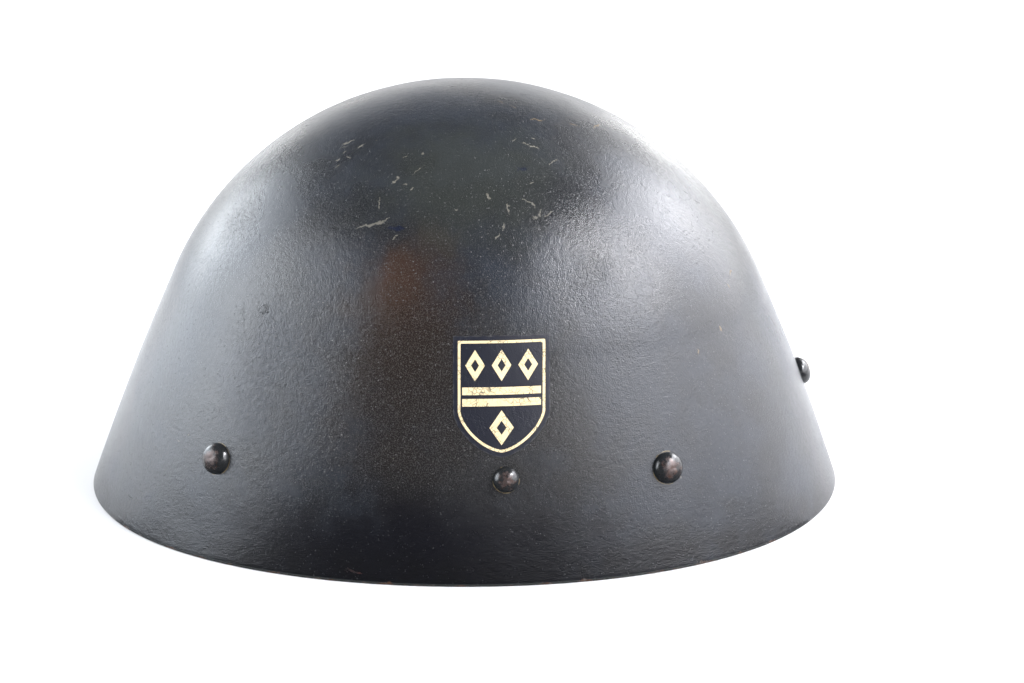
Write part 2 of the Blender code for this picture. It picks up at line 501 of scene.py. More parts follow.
@dataclass(frozen=True)
class ShellForm:
    """Form of the pressed shell.

    Each level is an oval whose reach to the front, rear and sides comes from a crown arc that runs tangent
    into a leaning, slightly bulged wall.
    """

    half_length: float
    half_width: float
    height: float
    front_crown: float = 0.124
    rear_crown: float = 0.127
    side_crown: float = 0.105
    bulge: float = 0.0010
    fullness: float = 0.014
    rear_widening: float = 0.015
    steel: float = 0.0012
    unevenness: float = 0.00022
    crown_gap: float = 1e-6
    locate_rounds: int = 3
    halvings: int = 40
    wave_scale: float = 0.01
    wave_fade: float = 0.012
    waves: tuple[tuple[float, Direction, float, Direction, float], ...] = (
        (1.0, (0.9, 0.5, 0.0), 1.3, (0.0, -0.4, 0.7), 0.4),
        (0.6, (0.0, 1.9, -1.1), 2.0, (1.6, 0.0, 0.9), 0.0),
        (0.35, (0.0, 3.1, 2.3), 0.7, (2.7, -1.9, 0.0), 0.0),
    )

    def reach(self, height: np.ndarray, half: float, crown: float) -> np.ndarray:
        """Half-extent of one side at each height: the leaning wall, then the crown circle.

        Args:
            height: heights above the rim.
            half: half-extent at the rim.
            crown: radius of the crown arc.

        Returns:
            Half-extents.
        """
        center = self.height - crown
        touch = math.atan2(-center, half) + math.acos(crown / math.hypot(half, center))
        touch_height = center + crown * math.sin(touch)
        share = height / touch_height
        wall = half + (crown * math.cos(touch) - half) * share
        wall = wall + 4.0 * self.bulge * share * (1.0 - share) / math.cos(touch)
        arc = np.sqrt(np.clip(crown ** 2 - (height - center) ** 2, 0.0, None))
        return np.where(height >= touch_height, arc, wall)

    def reaches(self, height: np.ndarray) -> tuple[np.ndarray, np.ndarray, np.ndarray]:
        """Half-extents to the front, the rear and the sides.

        Args:
            height: heights above the rim.

        Returns:
            One array for each.
        """
        return (self.reach(height, self.half_length, self.front_crown),
                self.reach(height, self.half_length, self.rear_crown),
                self.reach(height, self.half_width, self.side_crown))

    def swell(self, turn: np.ndarray) -> np.ndarray:
        """Factor that fills the oval out between its axes."""
        return 1.0 + self.fullness * np.sin(2.0 * turn) ** 2

    def smooth_point(self, turn: np.ndarray, height: np.ndarray) -> np.ndarray:
        """Point of the even outer surface.

        Args:
            turn: turn about the crown, from the rear over the wearer's left.
            height: height above the rim.

        Returns:
            Points, with X, Y and Z along the last axis.
        """
        along = np.cos(turn)
        full = self.swell(turn)
        front, rear, side = self.reaches(height)
        x = side * np.sin(turn) * full * (1.0 + self.rear_widening * along)
        y = np.where(along < 0.0, front, rear) * along * full
        return np.stack([x, y, height + 0.0 * turn], axis=-1)

    def normal(self, turn: np.ndarray, height: np.ndarray) -> np.ndarray:
        """Outward normal of the even surface, from short steps on it.

        Args:
            turn: turn about the crown.
            height: height above the rim.

        Returns:
            Unit normals.
        """
        step = 1e-4
        level = np.minimum(height, self.height - 2.0 * step)
        round_step = self.smooth_point(turn + step, level) - self.smooth_point(turn - step, level)
        up_step = self.smooth_point(turn, level + step) - self.smooth_point(turn, level - step)
        cross = np.cross(up_step, round_step)
        return cross / np.linalg.norm(cross, axis=-1, keepdims=True)

    def sink(self, point: np.ndarray) -> np.ndarray:
        """How far the hand-finished steel lies inside the even surface: slow waves, none at the rim.

        Each wave is its strength times two sines, each of the point's place along a direction plus a phase.
        Their sum is brought to between nothing and the unevenness.

        Args:
            point: points of the even surface.

        Returns:
            Depths, zero or more.
        """
        spot = point / self.wave_scale
        total = sum(strength * np.sin(spot @ np.array(first) + start)
                    * np.sin(spot @ np.array(second) + shift)
                    for strength, first, start, second, shift in self.waves)
        most = sum(wave[0] for wave in self.waves)
        fade = np.clip(point[..., 2] / self.wave_fade, 0.0, 1.0)
        return self.unevenness * fade * (1.0 + total / most) / 2.0

    def surface(self, turn: np.ndarray, height: np.ndarray, lift: float | np.ndarray = 0.0) -> np.ndarray:
        """Point on, above or below the finished outer surface.

        Args:
            turn: turn about the crown.
            height: height above the rim.
            lift: distance outward.

        Returns:
            Points.
        """
        even = self.smooth_point(turn, height)
        out = np.asarray(lift - self.sink(even))[..., None]
        return even + out * self.normal(turn, height)

    def locate(self, point: np.ndarray) -> tuple[np.ndarray, np.ndarray, np.ndarray]:
        """Turn and height of points near the shell, and how far out they lie.

        Args:
            point: points at heights between the rim and the crown.

        Returns:
            Turn, height, and the share of the way from the middle to the surface.
        """
        height = np.clip(point[..., 2], 0.0, self.height - self.crown_gap)
        front, rear, side = self.reaches(height)
        v = point[..., 1] / np.where(point[..., 1] < 0.0, front, rear)
        u = point[..., 0] / side
        turn = np.arctan2(u, v)
        for _ in range(self.locate_rounds):
            widened = u / (1.0 + self.rear_widening * np.cos(turn))
            turn = np.arctan2(widened, v)
        return turn, height, np.hypot(widened, v) / self.swell(turn)

    def turn_at(self, station: np.ndarray, height: np.ndarray) -> np.ndarray:
        """Turn on the wearer's left whose point lies at a station along the length, by halving.

        Args:
            station: distances behind the middle.
            height: heights above the rim.

        Returns:
            Turns.
        """
        low = np.zeros(np.broadcast(station, height).shape)
        high = low + math.pi
        for _ in range(self.halvings):
            middle = (low + high) / 2.0
            beyond = self.smooth_point(middle, height + low * 0.0)[..., 1] > station
            low = np.where(beyond, middle, low)
            high = np.where(beyond, high, middle)
        return (low + high) / 2.0


@dataclass(frozen=True)
class PhotoView:
    """The studio camera: where it stands, what it aims at, and how its pixels meet the shell."""

    stand: tuple[float, float, float] = (0.69127, 0.02029, 0.25601)
    aim: tuple[float, float, float] = (0.0, 0.01878, 0.05195)
    frame: tuple[int, int] = (1024, 683)
    focal_pixels: float = 1820.35
    sensor: float = 36.0
    near_clip: float = 0.01
    ray_reach: Band = (0.5, 0.85)
    ray_steps: int = 7001

    def axes(self) -> tuple[np.ndarray, np.ndarray, np.ndarray]:
        """Forward, right and up directions of the view.

        Returns:
            Three unit vectors.
        """
        forward = np.subtract(self.aim, self.stand)
        forward = forward / np.linalg.norm(forward)
        right = np.cross(forward, UP)
        right = right / np.linalg.norm(right)
        return forward, right, np.cross(right, forward)

    def build(self) -> bpy.types.Object:
        """Makes the camera.

        Returns:
            The camera's object.
        """
        data = bpy.data.cameras.new("studio_camera")
        data.sensor_width = self.sensor
        data.lens = self.focal_pixels / self.frame[0] * self.sensor
        data.clip_start = self.near_clip
        camera = bpy.data.objects.new("studio_camera", data)
        camera.location = self.stand
        away = Vector(self.aim) - Vector(self.stand)
        camera.rotation_euler = away.to_track_quat("-Z", "Y").to_euler()
        bpy.context.scene.collection.objects.link(camera)
        bpy.context.scene.camera = camera
        return camera

    def cast(self, pixels: np.ndarray, form: ShellForm) -> tuple[np.ndarray, np.ndarray]:
        """Finds where pixels meet the shell: the first step along each ray that lies inside it.

        Args:
            pixels: pixel columns and rows.
            form: the shell's form.

        Returns:
            Turns and heights on the shell.
        """
        forward, right, up = self.axes()
        across = (pixels[:, 0] - self.frame[0] / 2.0) / self.focal_pixels
        down = (pixels[:, 1] - self.frame[1] / 2.0) / self.focal_pixels
        ray = forward + across[:, None] * right - down[:, None] * up
        steps = np.linspace(*self.ray_reach, self.ray_steps)
        points = np.asarray(self.stand) + steps[None, :, None] * ray[:, None, :]
        turn, height, share = form.locate(points)
        inside = (share < 1.0) & (points[..., 2] > 0.0) & (points[..., 2] < form.height)
        first = inside.argmax(axis=1)
        rows = np.arange(len(pixels))
        return turn[rows, first], height[rows, first]


BUFF, TAN, DARK, DULL, BLUE, RED = MarkKind
# Chips and scratches by kind: column and row of both ends in the studio camera's 1024 x 683 frame, cast onto
# the shell, and the width in millimetres.
MARKS: dict[MarkKind, tuple[tuple[float, float, float, float, float], ...]] = {
    BUFF: (
        (359, 227, 375, 224, 0.7), (374, 224, 385, 221, 0.9), (384, 222, 388, 217, 0.6),
        (379, 199, 380, 207, 0.5), (391, 239, 397, 235, 0.4), (337, 160, 340, 158, 0.6),
        (344, 153, 347, 151, 0.7), (347, 157, 349, 158, 0.7), (344, 144, 353, 140, 0.7),
        (341, 148, 346, 146, 0.4), (358, 147, 363, 145, 0.5), (336, 167, 339, 165, 0.4),
        (393, 184, 397, 178, 0.6), (397, 178, 400, 177, 0.5), (404, 185, 406, 184, 0.7),
        (410, 190, 412, 189, 0.7), (413, 174, 424, 165, 0.4), (403, 157, 406, 155, 0.5),
        (422, 154, 423, 153, 0.6), (456, 209, 457, 208, 0.6), (487, 195, 490, 198, 1.1),
        (512, 141, 515, 138, 0.6), (532, 138, 533, 138, 0.7), (531, 146, 536, 148, 1.1),
        (523, 143, 531, 146, 0.5), (530, 183, 532, 183, 0.7), (508, 204, 508, 211, 0.6),
        (523, 200, 532, 202, 0.5), (532, 202, 535, 207, 0.7), (540, 210, 539, 216, 0.6),
        (534, 218, 536, 217, 0.7), (545, 215, 552, 212, 0.7), (503, 224, 504, 229, 0.5),
        (497, 238, 499, 234, 0.6), (550, 164, 556, 160, 0.5), (679, 474, 681, 476, 0.8),
        (209, 470, 210, 472, 0.6), (187, 435, 188, 436, 0.6), (178, 440, 179, 441, 0.6),
    ),
    TAN: (
        (497, 100, 505, 103, 0.3), (511, 105, 518, 109, 0.3), (531, 119, 544, 120, 0.6),
        (568, 123, 578, 126, 0.5), (594, 127, 600, 125, 0.7), (731, 270, 730, 274, 0.8),
        (728, 285, 729, 287, 0.7), (720, 327, 721, 330, 1.0), (698, 351, 699, 353, 1.0),
    ),
    DARK: (
        (518, 95, 530, 94, 0.3), (304, 127, 312, 124, 0.4), (640, 181, 646, 190, 0.5),
        (655, 180, 661, 186, 0.4), (684, 191, 687, 193, 0.7), (695, 200, 699, 203, 0.8),
        (243, 302, 244, 327, 0.5), (280, 297, 283, 294, 0.6), (303, 274, 308, 272, 0.5),
        (128, 495, 133, 499, 0.7), (726, 548, 728, 550, 0.9),
    ),
    DULL: ((262, 309, 264, 309, 2.6),),
    BLUE: ((521, 169, 525, 169, 2.0), (390, 228, 402, 228, 1.4), (144, 500, 151, 494, 1.2)),
    RED: ((347, 570, 360, 573, 0.9),),
}
MARK_COLORS: dict[MarkKind, Color] = {
    BUFF: (0.125, 0.116, 0.093, 1.0),
    TAN: (0.13, 0.092, 0.045, 1.0),
    DARK: (0.003, 0.003, 0.004, 1.0),
    DULL: (0.014, 0.015, 0.018, 1.0),
    BLUE: (0.005, 0.008, 0.022, 1.0),
    RED: (0.12, 0.022, 0.010, 1.0),
}
STAINS_AND_SHADE = (
    TintedSpot((397, 288), (9.0, 17.0), 0.70, (0.072, 0.025, 0.008, 1.0)),
    TintedSpot((405, 300), (19.0, 36.0), 0.75, (0.024, 0.013, 0.008, 1.0)),
    TintedSpot((405, 370), (30.0, 42.0), 0.60, (0.015, 0.009, 0.006, 1.0)),
    TintedSpot((470, 440), (45.0, 50.0), 0.60, (0.011, 0.009, 0.007, 1.0)),
    TintedSpot((466, 178), (36.0, 24.0), 0.60, (0.024, 0.027, 0.023, 1.0)),
    # Painted shade: a near-black patch low on the front, just above the rim.
    TintedSpot((400, 566), (86.0, 27.0), 0.95, (0.002, 0.002, 0.004, 1.0)),
)
COARSE = (
    SoftSpot((242, 222), (13.0, 11.0), 0.8),
    SoftSpot((290, 350), (26.0, 52.0), 1.2),
    SoftSpot((588, 276), (12.0, 10.0), 0.6),
    SoftSpot((615, 290), (26.0, 34.0), 0.5),
)
DOTTED = (SoftSpot((370, 380), (72.0, 75.0), 0.75),)
SMOOTH = (SoftSpot((400, 560), (85.0, 28.0), 1.0),)


class PaintedGround(Finish):
    """The shell paint's material under construction, with what its spots and marks are laid out on."""

    def __init__(self, name: str, form: ShellForm, view: PhotoView, effects: Effects) -> None:
        """Makes the material.

        Args:
            name: the material's name.
            form: the shell's form, which the marks are cast onto.
            view: the camera whose pixels place them.
            effects: shared node groups.
        """
        super().__init__(name)
        self.form = form
        self.view = view
        self.effects = effects
        self.height = self.parts(self.position)["Z"]

    def centers(self, spots: tuple[SoftSpot, ...]) -> list[list[float]]:
        """Middles of spots in metres."""
        turn, height = self.view.cast(np.array([spot.pixel for spot in spots], float), self.form)
        return self.form.surface(turn, height).tolist()

    def spot_mask(self, spot: SoftSpot, center: list[float], ragged: Value = 0.0) -> Socket:
        """Mask of one soft spot.

        Args:
            spot: the spot.
            center: its middle in metres.
            ragged: noise about nought that roughens its outline.

        Returns:
            The mask.
        """
        wide, tall = (1.0 / (MM * size) for size in spot.reach)
        return self.use(self.effects.patch, {"Position": self.position, "Center": center,
                                             "Shrink": (wide, wide, tall), "Ragged": ragged})["Mask"]

    def spots(self, spots: tuple[SoftSpot, ...]) -> Value:
        """Sum of the masks of soft spots, each times its strength.

        Args:
            spots: the spots.

        Returns:
            The joined mask.
        """
        total: Value = 0.0
        for spot, center in zip(spots, self.centers(spots)):
            total = self.mix_in(self.spot_mask(spot, center), spot.strength, total)
        return total

    def specks(self, spacing: float, share: Value, radius: float) -> dict[str, Socket]:
        """Scattered dots and pits.

        Args:
            spacing: distance between them in metres.
            share: share of places that hold a dot, and share that hold a pit.
            radius: their radius as a share of the spacing.

        Returns:
            Masks of the dots and of the pits.
        """
        return self.use(self.effects.specks,
                        {"Position": self.position, "Spacing": spacing, "Share": share, "Radius": radius})

    def curled(self, reach: float, size: float) -> Socket:
        """Position moved about by noise.

        Args:
            reach: how far it moves.
            size: size of the noise's features.

        Returns:
            The moved position.
        """
        drift = self.vector("SUBTRACT", self.noise(self.position, size, output="Color"), (0.5, 0.5, 0.5))
        return self.vector("ADD", self.position, self.vector("SCALE", drift, scale=reach))

    def stroke(self, position: Socket, ends: np.ndarray, out: np.ndarray, half_width: float) -> Socket:
        """Distance from a stroke's middle, where its outline gives 1.

        Args:
            position: where the distance is measured.
            ends: both ends in metres.
            out: the shell's outward direction there.
            half_width: half its width.

        Returns:
            The distance.
        """
        first, last = ends
        length = np.linalg.norm(last - first)
        along = (last - first) / length
        frame = Matrix(np.stack([along, np.cross(out, along), out], axis=-1).tolist())
        depth_in_widths = 4.0
        size = (float(length) / 2.0 + half_width, half_width, depth_in_widths * half_width)
        return self.use(self.effects.mark,
                        {"Position": position, "Center": ((first + last) / 2.0).tolist(),
                         "Turn": tuple(frame.to_euler()), "Size": size})["Distance"]


@dataclass(frozen=True)
class ShellPaint:
    """Satin blue-grey paint over fine grain, worn, scratched, stained and rusty along the rim, with painted
    shade low down, a painted rim highlight and painted glints.

    A tint is how much of a colour shows, and a relief is a height as a share of the grain's depth. A pair of
    numbers is where a smooth step starts and ends, or its results there.
    """

    base: Color = (0.015, 0.018, 0.024, 1.0)
    deep: Color = (0.011, 0.012, 0.014, 1.0)
    inner: Color = (0.018, 0.019, 0.018, 1.0)
    speck: Color = (0.090, 0.087, 0.084, 1.0)
    # Painted highlight: the colour of glints on dots in the coarse places.
    painted_glint: Color = (0.17, 0.165, 0.16, 1.0)
    # Colour of the pits, also used for the painted shade low on the shell.
    pit_and_shade: Color = (0.003, 0.003, 0.004, 1.0)
    rim_rust: Color = (0.060, 0.026, 0.014, 1.0)
    # Painted highlight colour on the rim's rounded edge.
    rim_edge_highlight: Color = (0.036, 0.040, 0.038, 1.0)
    rim_steel: Color = (0.090, 0.082, 0.076, 1.0)
    ring: Color = (0.15, 0.115, 0.060, 1.0)
    cloud_band: Band = (0.35, 0.65)
    spot_edge: Grit = Grit(0.016, 5.0, 0.65)
    sand_band: Band = (0.46, 0.74)
    sand_tint: float = 0.30
    # Strength of the painted glints.
    painted_glint_tint: float = 0.6
    pit_tint: float = 0.7
    chip_tint: float = 0.6
    mark_tint: float = 0.7
    ring_gap: float = 0.00015
    ring_width: float = 0.0002
    ring_core: float = 0.4
    ring_breaks: Grit = Grit(0.005)
    ring_band: Band = (0.50, 0.60)
    grain_size: float = 0.0006
    grain_depth: float = 0.00011
    # Painted shade low on the shell: where it starts, where it is full, its clots, and their band and
    # strength.
    foot_shade_top: float = 0.016
    foot_shade_full: float = 0.005
    foot_shade_clots: Grit = Grit(0.009, 4.0, 0.65)
    foot_shade_band: Band = (0.40, 0.60)
    foot_shade_tint: Band = (0.45, 0.95)
    wear_spread: Grit = Grit(0.007, 5.0, 0.65)
    wear_band: Band = (0.44, 0.76)
    wear_reach: Band = (0.0002, 0.0020)
    wear_fade: Band = (1.0, 0.45)
    rubbing: Grit = Grit(0.0016, 4.0, 0.6)
    rubbed_band: Band = (0.48, 0.62)
    # Painted highlight on the rim's rounded edge: its top band, its foot band and its strength.
    edge_highlight_top: Band = (0.0012, 0.0007)
    edge_highlight_foot: Band = (0.0002, 0.0005)
    edge_highlight_tint: float = 0.8
    speck_spacing: float = 0.00085
    speck_share: float = 0.34
    speck_radius: float = 0.30
    coarse_share: float = 0.10
    smooth_fade: float = 0.75
    chip_spacing: float = 0.009
    chip_share: float = 0.20
    chip_radius: float = 0.045
    roughness: float = 0.23
    crown_roughness: float = 0.06
    crown_band: Band = (0.105, 0.140)
    cloud_roughness: float = 0.22
    pit_roughness: float = 0.35
    worn_roughness: float = 0.12
    mark_roughness: float = 0.25
    dot_relief: float = 0.8
    pit_relief: float = -0.9
    coarse_pit_relief: float = -2.0
    dull_relief: float = 2.5
    smooth_flatness: float = 0.4
    mark_curl: float = 0.0030
    mark_curl_size: float = 0.0022
    mark_edge: Grit = Grit(0.0006, 2.0, 0.6)
    mark_raggedness: float = 2.0
    mark_band: Band = (1.25, 0.6)

    def material(self, form: ShellForm, view: PhotoView, effects: Effects) -> bpy.types.Material:
        """Builds the paint's material.

        Args:
            form: the shell's form, which the marks are cast onto.
            view: the camera whose pixels place the marks.
            effects: shared node groups.

        Returns:
            The material.
        """
        ground = PaintedGround("worn_shell_paint", form, view, effects)
        grain = ground.use(effects.grain, {"Position": ground.position, "Size": self.grain_size})
        coarse = ground.spots(COARSE)
        smooth = ground.spots(SMOOTH)
        share = ground.mix_in(coarse, self.coarse_share, self.speck_share)
        specks = ground.specks(self.speck_spacing, share, self.speck_radius)
        masks = self.marks(ground)
        color = self.speckled(ground, self.tint(ground, grain["Clouds"]), grain, specks, coarse, smooth)
        color = ground.blend(self.rivet_rings(ground), color, self.ring)
        for kind, mask in masks.items():
            color = ground.blend(ground.times(mask, self.mark_tint), color, MARK_COLORS[kind])
        color, worn = self.rim(ground, color)
        height = ground.mix_in(specks["Dots"], self.dot_relief, grain["Height"])
        pitting = ground.mix_in(coarse, self.coarse_pit_relief, self.pit_relief)
        height = ground.calc("MULTIPLY_ADD", specks["Pits"], pitting, height)
        height = ground.mix_in(masks[DULL], self.dull_relief, height)
        depth = ground.mix_in(coarse, self.grain_depth, self.grain_depth)
        depth = ground.times(depth, ground.mix_in(smooth, -self.smooth_flatness, 1.0))
        rough = self.rough(ground, grain["Clouds"], specks["Pits"], worn, masks)
        ground.shade(color, rough, height, depth)
        return ground.material

    def tint(self, ground: PaintedGround, clouds: Socket) -> Socket:
        """Paint colour with clouds, stains, a near-black patch of painted shade low on the front, and the
        plainer inside.

        Args:
            ground: the paint's ground.
            clouds: slow noise.

        Returns:
            The colour's socket.
        """
        color = ground.blend(ground.ramp(clouds, *self.cloud_band), self.deep, self.base)
        ragged = ground.calc("SUBTRACT", ground.fine_noise(self.spot_edge), 0.5)
        for tinted_spot, center in zip(STAINS_AND_SHADE, ground.centers(STAINS_AND_SHADE)):
            mask = ground.spot_mask(tinted_spot, center, ragged)
            color = ground.blend(ground.times(mask, tinted_spot.strength), color, tinted_spot.color)
        return ground.blend(ground.attribute("inside"), color, self.inner)

    def speckled(self, ground: PaintedGround, color: Socket, grain: dict[str, Socket],
                 specks: dict[str, Socket], coarse: Socket, smooth: Socket) -> Socket:
        """Colour with pale sand, dots, painted glints on the coarse places' dots, dark pits and a few buff
        chips.

        Args:
            ground: the paint's ground.
            color: colour below.
            grain: the grain's outputs.
            specks: masks of dots and pits.
            coarse: mask of the coarser places, where dots get painted glints.
            smooth: mask of the smoother place, where sand and dots fade.

        Returns:
            The colour's socket.
        """
        dotted = ground.calc("ADD", ground.spots(DOTTED), 1.0 - DOTTED[0].strength)
        plain = ground.times(dotted, ground.mix_in(smooth, -self.smooth_fade, 1.0), clamp=True)
        chips = ground.specks(self.chip_spacing, self.chip_share, self.chip_radius)
        sand = ground.ramp(grain["Sand"], *self.sand_band, 0.0, self.sand_tint)
        # Painted highlight: dots in the coarse places are lightened as glints.
        painted_glint = ground.times(specks["Dots"], coarse, clamp=True)
        layers = (
            (ground.times(sand, plain), self.speck),
            (ground.times(specks["Dots"], plain), self.speck),
            (ground.times(painted_glint, self.painted_glint_tint), self.painted_glint),
            (ground.times(specks["Pits"], self.pit_tint), self.pit_and_shade),
            (ground.times(chips["Dots"], self.chip_tint), MARK_COLORS[BUFF]),
        )
        for mask, layer in layers:
            color = ground.blend(mask, color, layer)
        return color

    def rough(self, ground: PaintedGround, clouds: Socket, pits: Socket, worn: Socket,
              masks: dict[MarkKind, Socket]) -> Socket:
        """Roughness: cloudy, duller on the crown, in pits, along the rim and in marks through the paint.

        Args:
            ground: the paint's ground.
            clouds: slow noise.
            pits: mask of the pits.
            worn: mask of the rim's wear.
            masks: masks of the marks by kind.

        Returns:
            The roughness.
        """
        marked = masks[BUFF]
        for kind in (DARK, TAN, RED):
            marked = ground.calc("MAXIMUM", marked, masks[kind])
        rough = ground.mix_in(clouds, self.cloud_roughness, self.roughness - self.cloud_roughness / 2.0)
        rough = ground.mix_in(pits, self.pit_roughness, rough)
        rough = ground.mix_in(ground.ramp(ground.height, *self.crown_band), self.crown_roughness, rough)
        rough = ground.mix_in(worn, self.worn_roughness, rough)
        return ground.mix_in(marked, self.mark_roughness, rough)

    def rivet_rings(self, ground: PaintedGround) -> Socket:
        """Mask of the broken pale line in the paint round each rivet's foot.

        Args:
            ground: the paint's ground.

        Returns:
            The mask.
        """
        nearest: Value = 1.0
        for rivet in RIVETS:
            seat = rivet.axes(ground.form)[0].tolist()
            away = ground.vector("DISTANCE", ground.position, seat, output="Value")
            off = ground.calc("SUBTRACT", away, rivet.kind.head_radius + self.ring_gap)
            nearest = ground.calc("MINIMUM", nearest, ground.calc("ABSOLUTE", off))
        broken = ground.ramp(ground.fine_noise(self.ring_breaks), *self.ring_band)
        line = ground.ramp(nearest, self.ring_width, self.ring_core * self.ring_width)
        return ground.times(line, broken)

    def marks(self, ground: PaintedGround) -> dict[MarkKind, Socket]:
        """Masks of the chips and scratches, one for each kind, with curled strokes and ragged edges.

        Args:
            ground: the paint's ground.

        Returns:
            A mask for each kind of mark.
        """
        position = ground.curled(self.mark_curl, self.mark_curl_size)
        ragged = ground.calc("SUBTRACT", ground.fine_noise(self.mark_edge), 0.5)
        masks = {}
        for kind, strokes in MARKS.items():
            rows = np.array(strokes, float)
            turns, heights = ground.view.cast(rows[:, :4].reshape(-1, 2), ground.form)
            ends = ground.form.surface(turns, heights).reshape(-1, 2, 3)
            normals = ground.form.normal(turns, heights).reshape(-1, 2, 3)[:, 0]
            distances = [ground.stroke(position, pair, out, width * MM / 2.0)
                         for pair, out, width in zip(ends, normals, rows[:, 4].tolist())]
            nearest = distances[0]
            for distance in distances[1:]:
                nearest = ground.calc("MINIMUM", nearest, distance)
            masks[kind] = ground.ramp(ground.mix_in(ragged, self.mark_raggedness, nearest), *self.mark_band)
        return masks

    def rim(self, ground: PaintedGround, color: Socket) -> tuple[Socket, Socket]:
        """Painted shade low on the shell, a painted highlight on the rim's edge, and wear along it, rusty or
        rubbed to steel.

        Args:
            ground: the paint's ground.
            color: colour above the rim.

        Returns:
            The colour and the mask of the wear.
        """
        # Painted shade: the paint darkens in clots towards the rim, to the pits' near-black colour.
        shade_mottling = ground.ramp(ground.fine_noise(self.foot_shade_clots), *self.foot_shade_band, *self.foot_shade_tint)
        painted_foot_shade = ground.times(ground.ramp(ground.height, self.foot_shade_top, self.foot_shade_full), shade_mottling)
        color = ground.blend(painted_foot_shade, color, self.pit_and_shade)
        reach = ground.ramp(ground.fine_noise(self.wear_spread), *self.wear_band, *self.wear_reach)
        worn = ground.ramp(ground.calc("DIVIDE", ground.height, reach), *self.wear_fade)
        rubbed = ground.ramp(ground.fine_noise(self.rubbing), *self.rubbed_band)
        bare = ground.blend(rubbed, self.rim_rust, self.rim_steel)
        # Painted highlight: a lighter line on the rounded outer corner of the rim.
        painted_edge_highlight = ground.times(ground.ramp(ground.height, *self.edge_highlight_top),
                                   ground.ramp(ground.height, *self.edge_highlight_foot))
        color = ground.blend(ground.times(painted_edge_highlight, self.edge_highlight_tint), color, self.rim_edge_highlight)
        return ground.blend(worn, color, bare), worn


@dataclass(frozen=True)
class RivetSteel:
    """Dark painted rivet steel, rubbed bright and rusty on its dome, with a buff line round its foot."""

    paint: Color = (0.012, 0.013, 0.014, 1.0)
    steel: Color = (0.070, 0.052, 0.049, 1.0)
    rust: Color = (0.040, 0.014, 0.006, 1.0)
    foot: Color = (0.20, 0.155, 0.08, 1.0)
    foot_band: Band = (0.54, 0.57)
    foot_breaks: Grit = Grit(0.004)
    break_band: Band = (0.45, 0.55)
    wear: Grit = Grit(0.0018, 5.0, 0.75)
    wear_band: Band = (0.76, 0.52)
    rusting: Grit = Grit(0.0016, 4.0, 0.7)
    rust_band: Band = (0.50, 0.62)
    roughness: float = 0.17
    worn_roughness: float = 0.18
    bare_metal: float = 0.5
    grain_size: float = 0.0009
    grain_depth: float = 0.00006
    grain_strength: float = 0.5

    def material(self, effects: Effects) -> bpy.types.Material:
        """Builds the rivets' material. Its UV map runs round the rivet and down its profile.

        Args:
            effects: shared node groups.

        Returns:
            The material.
        """
        finish = Finish("worn_rivet_steel")
        down = finish.parts(finish.uv)["Y"]
        worn = finish.ramp(finish.calc("ADD", finish.fine_noise(self.wear), down), *self.wear_band)
        rusty = finish.ramp(finish.fine_noise(self.rusting), *self.rust_band)
        color = finish.blend(worn, self.paint, finish.blend(rusty, self.steel, self.rust))
        broken = finish.ramp(finish.fine_noise(self.foot_breaks), *self.break_band)
        color = finish.blend(finish.times(finish.ramp(down, *self.foot_band), broken), color, self.foot)
        bare = finish.times(worn, finish.calc("SUBTRACT", 1.0, rusty))
        finish.link(finish.times(bare, self.bare_metal), finish.shader.inputs["Metallic"])
        grain = finish.use(effects.grain, {"Position": finish.position, "Size": self.grain_size})
        rough = finish.mix_in(worn, self.worn_roughness, self.roughness)
        finish.shade(color, rough, grain["Height"], self.grain_depth, self.grain_strength)
        return finish.material


